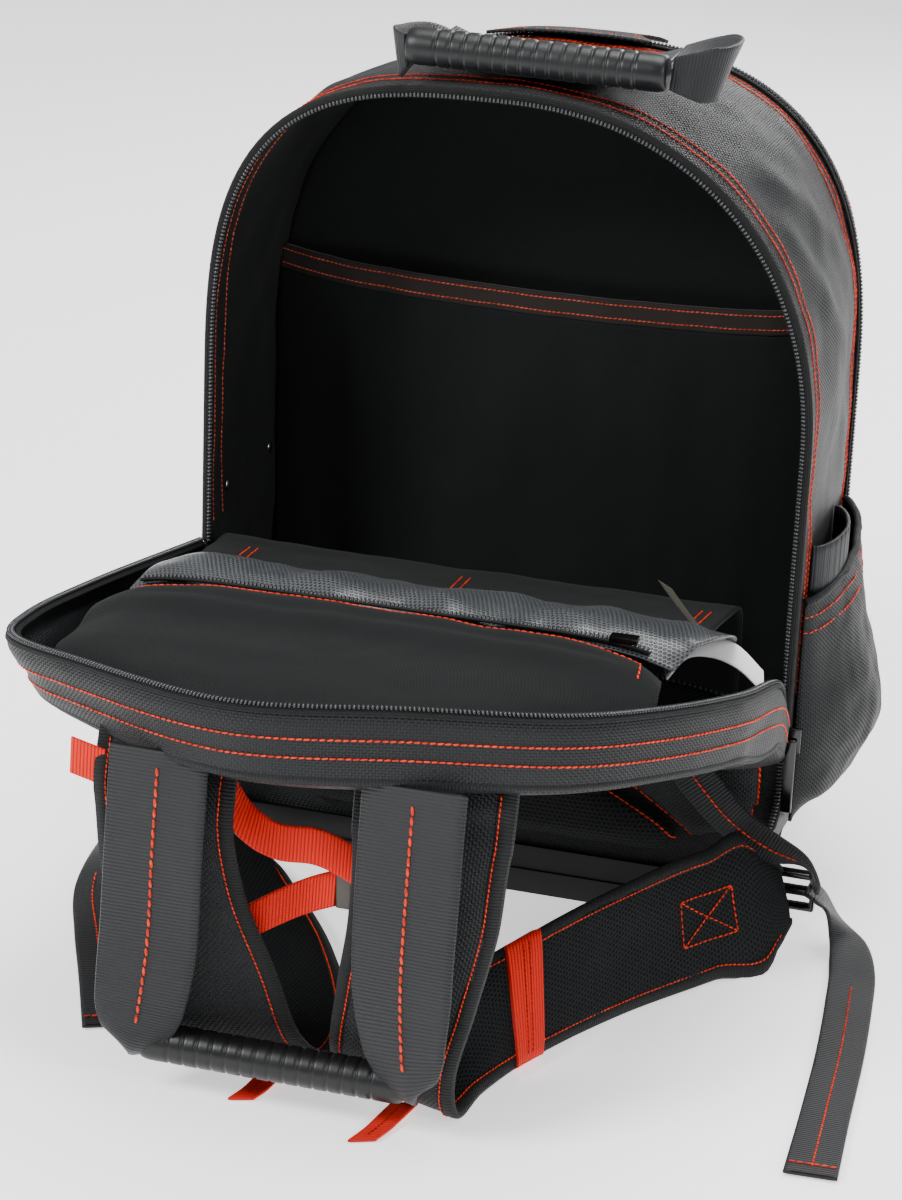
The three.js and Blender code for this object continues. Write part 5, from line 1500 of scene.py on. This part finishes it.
def spread_line(grid, row):
    """A line along a sheet at a fractional row."""
    low = min(int(row), len(grid) - 2)
    return [a.lerp(b, row - low) for a, b in zip(grid[low], grid[low + 1])]


edge_rows = [p + Vector((0, 0, 3)) for p in spread_line(panel_pocket_grid, 7.2)]
side_row = [row[-3] + Vector((0, 0, 3)) for row in panel_pocket_grid[7:22]]
sewn("panel_pocket_stitches", [edge_rows[:-2], side_row], [panel_pocket], size=1.15)

POCKET_ZIP_ROWS = [(0.515, 1.0, -0.45, 0.36), (0.535, 1.012, -0.45, 0.36)]
pocket_zip_grid = spread(POCKET_ZIP_ROWS, PANEL_LEVEL * 0.02, 3, 90)
pocket_tape = cloth("pocket_zip_tape", pocket_zip_grid, zip_tape, RIM_TAPE, (TOWARDS, Vector((0, 0, 1))))
dress(pocket_tape, "coil", "pocket_zip")
teeth("pocket_zip_coil", [([p + ABOVE * 1.6 for p in spread_line(pocket_zip_grid, 1.5)], ABOVE)],
      width=4.6)


def net_relief(point):
    wave = math.sin(point.x / 13 + crumple(point, 60, 13) * 2.5) * 0.9
    return crumple(point, 45, 14) * 2.4 + wave


net_grid = spread(NET_ROWS, PANEL_LEVEL * 0.03, 26, 70)
net = cloth("net_pocket", net_grid, net_cloth, NET_THICKNESS, (TOWARDS, Vector((0, 0, 1))),
            relief=net_relief, level=1)
declared(dress(net, "net", "mesh_pocket"), net_grid, "laid", "panel_outer")

flap_grid = spread(FLAP_ROWS, 0, 34, 50)
flap = cloth("inner_flap_cloth", flap_grid, lining_cloth, PANEL_CLOTH, (TOWARDS, Vector((0, -0.3, 1))),
             relief=lambda p: crumple(p, 50, 15) * 1.3 + crumple(p, 20, 16) * 0.4, level=1)
declared(dress(flap, "lining", "inner_flap"), flap_grid, "hung", "lower_back_board")
flap_tacks = []
for share in (0.09, 0.5, 0.95):
    j = round(share * 50)
    for shift in (-2.5, 2.5):
        flap_tacks.append([flap_grid[i][j] + Vector((shift, 0, 3)) for i in range(2, 14)])
sewn("flap_tacks", flap_tacks, [flap], size=1.0)


# ---- straps, webbing and grips
def padded_strap(name, run, node):
    """A foam-padded strap: woven outer face, mesh on its back, bound edges with a row of stitches each."""
    frames = run_frames(run, PANEL_FRAME, 4.0)
    size = STRAP_WIDTH
    made = band(name, frames, size, padded_section(STRAP_PADDING), shell_cloth, inner=air_mesh_strap,
                relief=lambda p: crumple(p, 40, 17) * 0.9 + crumple(p, 18, 18) * 0.35)
    finer = made.modifiers.new("Finer", "SUBSURF")
    finer.levels = finer.render_levels = 1
    dress(made, "shell", node)
    lines = []
    for side in (-1, 1):
        edge = band(f"{name}_binding_{'left' if side < 0 else 'right'}", frames, size,
                    [(side * a, h) for a, h in BINDING_SECTION], binding_tape)
        dress(edge, "binding")
        for face in (-1, 1):
            lines.append([centre + cross * (side * 0.835 * size * share / 2) + normal * face * 5.5
                          for centre, cross, normal, share, _ in frames[2:-2]])
    return made, frames, lines


_, _, left_lines = padded_strap("shoulder_strap_left_pad", STRAP_LEFT_RUN, "shoulder_strap_left")
strap_right, right_frames, right_lines = padded_strap("shoulder_strap_right_pad", STRAP_RIGHT_RUN,
                                                      "shoulder_strap_right")
bindings = [piece for name, piece in made_pieces.items() if "_binding_" in name]
sewn("strap_stitches", left_lines + right_lines, bindings, size=0.85)


BLACK = (2, webbing, "webbing")
RED = (1.6, red_webbing, "red")


def webbed(name, node, run, width, kind, scale=PANEL_FRAME, stitched=None, size=1.0, thread=orange_thread,
           curl=0.0):
    """Webbing with its ribs across. stitched gives the share of it that has stitches down its middle."""
    thickness, material, slot = kind
    frames = run_frames(run, scale, WEB_RIB / 2)
    made = band(name, frames, width, flat_section(thickness), material, rib=0.22, curl=curl)
    dress(made, slot, node)
    if stitched:
        first, last = (round(share * (len(frames) - 1)) for share in stitched)
        line = [centre + normal * (thickness / 2 + 2) for centre, _, normal, _, _ in frames[first:last]]
        sewn(f"{name}_stitches", [line], [made], thread, size=size)
    return made, frames


for side, run in (("left", HANDLE_WEB_LEFT_RUN), ("right", HANDLE_WEB_RIGHT_RUN)):
    webbed(f"handle_web_{side}_tape", f"handle_web_{side}", run, HANDLE_WEB_WIDTH, BLACK,
           stitched=(0.05, 0.86), size=1.6, curl=WEB_CURL)
webbed("lower_web_right_tape", "lower_web_right", LOWER_WEB_RIGHT_RUN, TAIL_WEB_WIDTH, BLACK,
       stitched=(0.05, 0.8), size=1.1)
webbed("lower_web_left_tape", "lower_web_left", LOWER_WEB_LEFT_RUN, TAIL_WEB_WIDTH, BLACK)
tails, tail_ends = [], []
for side, run in (("right", TAIL_RIGHT_RUN), ("left", TAIL_LEFT_RUN)):
    tail, frames = webbed(f"tail_{side}_tape", f"tail_{side}", run, TAIL_WEB_WIDTH, BLACK,
                          stitched=(0.3, 0.98), size=1.1)
    tails.append(tail)
    centre, cross, normal, share, _ = frames[-10]
    half = cross * TAIL_WEB_WIDTH * share / 2
    tail_ends.append([centre + half * a + Vector((0, 0, 4)) for a in (-0.92, -0.4, 0, 0.4, 0.92)])
sewn("tail_end_stitches", tail_ends, tails, size=1.2)
for name, run in (("chest_strap_upper", CHEST_UPPER_RUN), ("chest_strap_lower", CHEST_LOWER_RUN)):
    webbed(f"{name}_tape", name, run, RED_WEB_WIDTH, RED)
for tab, run in (("side", TAB_UPPER_LEFT_RUN), ("left", TAB_FLOOR_LEFT_RUN), ("right", TAB_FLOOR_RIGHT_RUN)):
    webbed(f"red_tab_{tab}_tape", f"red_tab_{tab}", run, RED_WEB_WIDTH, RED, stitched=(0.1, 0.9), size=0.8,
           thread=dark_thread)
webbed("sewn_label", "care_label", LABEL_RUN, LABEL_WIDTH, (1, label_cloth, "label"))
webbed("zip_ribbon", "pull_ribbon", RIBBON_RUN, LABEL_WIDTH, (1, ribbon_cloth, "ribbon"))
for name, node, run in (
    ("top_web_tape", "top_web", TOP_WEB_RUN),
    ("top_web_left_turn", "top_web_left", TOP_WEB_LEFT_RUN),
    ("top_web_right_turn", "top_web_right", TOP_WEB_RIGHT_RUN),
):
    webbed(name, node, run, HANDLE_WEB_WIDTH, BLACK, scale=TOP_FRAME)

band_from, band_to = share_place(0.04, 0.36, 0), share_place(0.37, 0.82, 0)
band_line = (band_to - band_from).normalized()
sleeve = []
for one in run_frames(STRAP_RIGHT_RUN, PANEL_FRAME, 1.0):
    offset = Vector((one[0].x - band_from.x, one[0].y - band_from.y, 0))
    if one[4] > 200 and abs(offset.x * band_line.y - offset.y * band_line.x) < RED_WEB_WIDTH / 2 + 1:
        sleeve.append(one)
red_sleeve = band("strap_band_tape", sleeve, STRAP_WIDTH * 1.05, padded_section(STRAP_PADDING + 3, edge=0.75),
                  red_webbing, rib=0.2)
dress(red_sleeve, "red", "strap_band")
band_lines = []
for shift in (-2, 2):
    centre, cross, normal, share, _ = sleeve[len(sleeve) // 2 + shift]
    half = cross * STRAP_WIDTH * share / 2
    for side in (-1, 1):
        band_lines.append([centre + half * (a / 20) + normal * side * 8 for a in range(-19, 20)])
sewn("strap_band_stitches", band_lines, [red_sleeve], dark_thread, size=0.8)


def grip(name, node, middle, length, slope):
    """A moulded grip: a tube with grooves round it and plain rounded collars at its ends."""
    grid = []
    count = 260
    ahead = Vector((math.cos(slope), 0, -math.sin(slope)))
    lift = Vector((math.sin(slope), 0, math.cos(slope)))
    for i in range(count + 1):
        along = (i / count - 0.5) * length
        from_end = length / 2 - abs(along)
        radius = GRIP_RADIUS
        if from_end < 7:
            radius = GRIP_RADIUS * (0.82 + 0.18 * math.sqrt(max(0, 1 - ((7 - from_end) / 7) ** 2)))
        elif from_end > 14:
            from_groove = (along / GRIP_GROOVE_PITCH + 0.5) % 1 - 0.5
            radius -= 0.9 * math.exp(-((from_groove * GRIP_GROOVE_PITCH / 0.8) ** 2))
        grid.append([middle + ahead * along + (Vector((0, 1, 0)) * math.cos(t) + lift * math.sin(t)) * radius
                     for t in (2 * math.pi * j / 28 for j in range(29))])
    made = cloth(name, grid, grip_rubber, 0, (AWAY, middle), loop=True, caps=True)
    return dress(made, "rubber", node)


grip("top_grip_rubber", "top_grip", Vector((BODY_WIDTH * 0.031, -REAR_DEPTH * 0.1, BODY_HEIGHT * 1.035)),
     TOP_GRIP_LENGTH, 0.012)
grip("lower_grip_rubber", "lower_grip",
     Vector((-BODY_WIDTH * 0.091, -PANEL_REACH * 0.945, GRIP_RADIUS * 2.7)), GRIP_LENGTH, 0)

# ---- side pocket and its loops
def right_wall(y):
    rows = REAR_SECTIONS
    i = max(1, next((k for k, row in enumerate(rows) if row[0] * REAR_DEPTH >= y), len(rows) - 1))
    a, b = rows[i - 1], rows[i]
    return BODY_WIDTH * mix(a[1], b[1], (y / REAR_DEPTH - a[0]) / (b[0] - a[0])) / 2


def side_pocket_grid(rows, columns):
    knots = [Vector((row[1], row[2], row[3])) for row in SIDE_POCKET_ROWS]
    ups = [Vector((row[0], 0, 0)) for row in SIDE_POCKET_ROWS]
    grid = []
    for i in range(rows + 1):
        share = i / rows
        shape, up = curve(knots, share), curve(ups, share).x
        row = []
        for j in range(columns + 1):
            s = j / columns
            y = REAR_DEPTH * mix(shape.y, shape.z, s)
            z = mix(SIDE_POCKET_FOOT, SIDE_POCKET_TOP, up) + up * s * SIDE_POCKET_TOP * 0.1
            out = SIDE_POCKET_BULGE * shape.x * math.sin(math.pi * s) ** 0.6 if 0 < s < 1 else 0
            row.append(Vector((right_wall(y) + SEAM_GAP + 1.0 + out, y, z)))
        grid.append(row)
    return grid


def side_relief(point):
    edge = smooth((point.x - 182) / 10)
    height = crumple(point, 34, 19) * 2.0 + crumple(point, 16, 20) * 0.5
    height += fold_line(point, Vector((205, 20, 70)), Vector((214, 60, 110)), 5, 2.0)
    height += fold_line(point, Vector((205, 110, 68)), Vector((213, 80, 118)), 5, 1.8)
    return height * edge


side_grid = side_pocket_grid(34, 48)
side_pocket = cloth("side_pocket_cloth", side_grid, shell_cloth, POCKET_CLOTH, (TOWARDS, Vector((1, 0, 0))),
                    inner=lining_cloth, relief=side_relief, level=1)
declared(dress(side_pocket, "shell", "side_pocket"), side_grid, "hung", "body_shell")
mouth = [point + Vector((side_relief(point), 0, 0)) for point in side_grid[-1]]
tube("side_pocket_binding", mouth, 2.4, binding_tape, "binding")
sewn("side_pocket_stitches", [side_grid[-3], side_grid[-5]], [side_pocket])


def side_loop(name, node, low, out):
    grid = []
    for i in range(61):
        s = i / 60
        y = REAR_DEPTH * mix(0.12, 0.62, s)
        bow = out * math.sin(math.pi * s) ** 0.5 if 0 < s < 1 else 0
        wave = 0.2 if i % 2 else -0.2
        x = right_wall(y) + SEAM_GAP + 1 + bow + wave
        grid.append([Vector((x, y, low + LOOP_WIDTH * k / 6)) for k in range(7)])
    made = cloth(name, grid, webbing, 2, (TOWARDS, Vector((1, 0, 0))))
    return dress(made, "webbing", node)


side_loop("side_loop_upper_tape", "side_loop_upper", SIDE_POCKET_TOP + LOOP_WIDTH * 0.12, 12)
side_loop("side_loop_lower_tape", "side_loop_lower", SIDE_POCKET_TOP - LOOP_WIDTH * 1.05, 12)

# ---- top flap
def top_height(x, y, grow):
    points = ring(y, grow)
    arch_points = points[HALF_COUNT - ARCH_STEPS:HALF_COUNT + ARCH_STEPS + 1]
    for (x1, z1), (x2, z2) in zip(arch_points, arch_points[1:]):
        if x2 <= x <= x1:
            return mix(z1, z2, (x1 - x) / max(x1 - x2, 1e-6))
    return arch_points[ARCH_STEPS][1]


def flap_grid_top(lift):
    left, right, near, far, notch = -0.165, 0.12, 0.86, 1.16, 0.035
    grid = []
    for i in range(17):
        t = i / 16
        bite = notch * (1 - abs(2 * t - 1))
        y = REAR_DEPTH * mix(near, far, t)
        row = []
        for j in range(41):
            x = BODY_WIDTH * mix(left + bite, right - bite, j / 40)
            row.append(Vector((x, y, top_height(x, min(y, 211), lift))))
        grid.append(row)
    return grid


top_grid = flap_grid_top(4.8)
top_flap = cloth("top_flap_cloth", top_grid, shell_cloth, POCKET_CLOTH, (TOWARDS, Vector((0, 0, 1))))
declared(dress(top_flap, "shell", "top_flap"), top_grid, "laid", "front_zip_tape")
flap_edges = [[row[2] for row in top_grid], [row[-3] for row in top_grid], top_grid[2], top_grid[-3]]
sewn("top_flap_stitches", flap_edges, [top_flap])

# ---- hard fittings
for node, name, material, slot_name, bevel in (
    ("rim_slider", "rim_slider_body", black_acetal, "plastic", 2.4),
    ("rim_puller", "rim_puller_tag", black_acetal, "plastic", 1.1),
    ("pocket_slider", "pocket_slider_body", black_acetal, "plastic", 1.4),
    ("top_slider_left", "top_slider_left_body", black_acetal, "plastic", 1.8),
    ("top_slider_right", "top_slider_right_body", black_acetal, "plastic", 1.8),
    ("ladder_lock_right", "ladder_lock_right_frame", black_acetal, "plastic", 1.6),
    ("ladder_lock_left", "ladder_lock_left_frame", black_acetal, "plastic", 1.6),
    ("chest_clip", "chest_clip_body", grey_acetal, "grey", 1.2),
):
    refined(node, name, material, slot_name, bevel)


def rivet(name, node):
    """A domed rivet head on each face of the wall."""
    low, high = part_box(node)
    middle = ((low + high) / 2 - ORIGIN) / MM
    half = (high.x - low.x) / 2 / MM
    profile = [(radius, half - depth) for radius, depth in RIVET_PROFILE]
    profile += [(radius, -x) for radius, x in reversed(profile)]
    turns = [2 * math.pi * j / 24 for j in range(25)]
    grid = [[middle + Vector((x, math.cos(t) * radius, math.sin(t) * radius)) for t in turns]
            for radius, x in profile]
    made = cloth(name, grid, nickel, 0, (AWAY, middle), loop=True, caps=True)
    return dress(made, "metal", node)


rivet("rivet_upper_heads", "rivet_upper")
rivet("rivet_lower_heads", "rivet_lower")

# ---- rows of stitches on the bag
arch_first, arch_last = index_at(8, 150, 1), index_at(8, 196, -1)
outer_rows = [round_line(y, 2.5, arch_first, arch_last) for y in RIM_ROWS]
outer_rows += [round_line(y, 2.5, front_first + 4, front_last - 4) for y in REAR_ZIP_ROWS + FRONT_ZIP_ROWS]
sewn("shell_stitches", outer_rows, [body, front])
inner_first, inner_last = HALF_COUNT - 36, index_at(8, 200, -1)
inner_rows = [round_line(y, -WALL - 2.5, inner_first, inner_last) for y in FACING_ROWS]
sewn("facing_stitches", inner_rows, [body], salmon_thread, size=0.9)

# Boxed cross of stitches near the end of the right strap, on its mesh side
box_frames = [one for one in right_frames if 134 <= one[0].x <= 160 and one[4] > 250]
near_end, far_end = box_frames[0], box_frames[-1]


def on_strap(one, across, face):
    centre, cross, normal, _, _ = one
    return centre + cross * across + normal * face * (STRAP_PADDING / 2 + 3)


face = 1 if near_end[2].y < 0 else -1
box = [on_strap(near_end, -13, face), on_strap(near_end, 13, face), on_strap(far_end, 13, face),
       on_strap(far_end, -13, face)]
box_lines = [[a.lerp(b, i / 12) for i in range(13)] for a, b in zip(box, box[1:] + box[:1])]
box_lines += [[a.lerp(b, i / 12) for i in range(13)] for a, b in ((box[0], box[2]), (box[1], box[3]))]
sewn("strap_box_stitches", box_lines, [strap_right])

# Orange rows and tacks on the right wing
WING_Y = -5
wing_lines = []
for x1, z1, x2, z2 in WING_ROWS:
    wing_lines.append([Vector((mix(x1, x2, i / 24), WING_Y - 2, mix(z1, z2, i / 24))) for i in range(25)])
sewn("wing_stitches", wing_lines, [wing_right, lumbar], size=1.05)

# ---- floor and light
floor_mesh = bmesh.new()
bmesh.ops.create_grid(floor_mesh, x_segments=1, y_segments=1, size=9)
floor_paint, _, _ = finish_named("pale_floor", "#f8f8f8", 0.9, Emission_Color=(1, 1, 1, 1),
                                 Emission_Strength=0.9)
floor = object_from("floor", floor_mesh, floor_paint, shade=False)
for vert in floor.data.vertices:
    vert.co.z = 0

world = bpy.data.worlds.new("studio")
bpy.context.scene.world = world
world.use_nodes = True
world.node_tree.nodes["Background"].inputs[0].default_value = (1, 1, 1, 1)
world.node_tree.nodes["Background"].inputs[1].default_value = 0.45


def lamp(name, place, aim, size, power):
    made = bpy.data.objects.new(name, bpy.data.lights.new(name, "AREA"))
    made.data.size = size
    made.data.energy = power
    made.location = Vector(place)
    made.rotation_euler = (Vector(aim) - Vector(place)).to_track_quat("-Z", "Y").to_euler()
    bpy.context.scene.collection.objects.link(made)


# name, place and aim in metres, width in metres, power in watts
for row in (
    ("key", (-1.5, -1.6, 1.9), (0, 0, 0.2), 0.8, 75),
    ("fill", (1.8, -1.2, 1.3), (0, 0, 0.2), 0.9, 26),
    ("overhead", (0.1, 0.3, 2.2), (0, 0, 0.2), 1.2, 48),
    ("rear", (0.4, 2.2, 1.2), (0, 0, 0.3), 1.0, 30),
):
    lamp(*row)
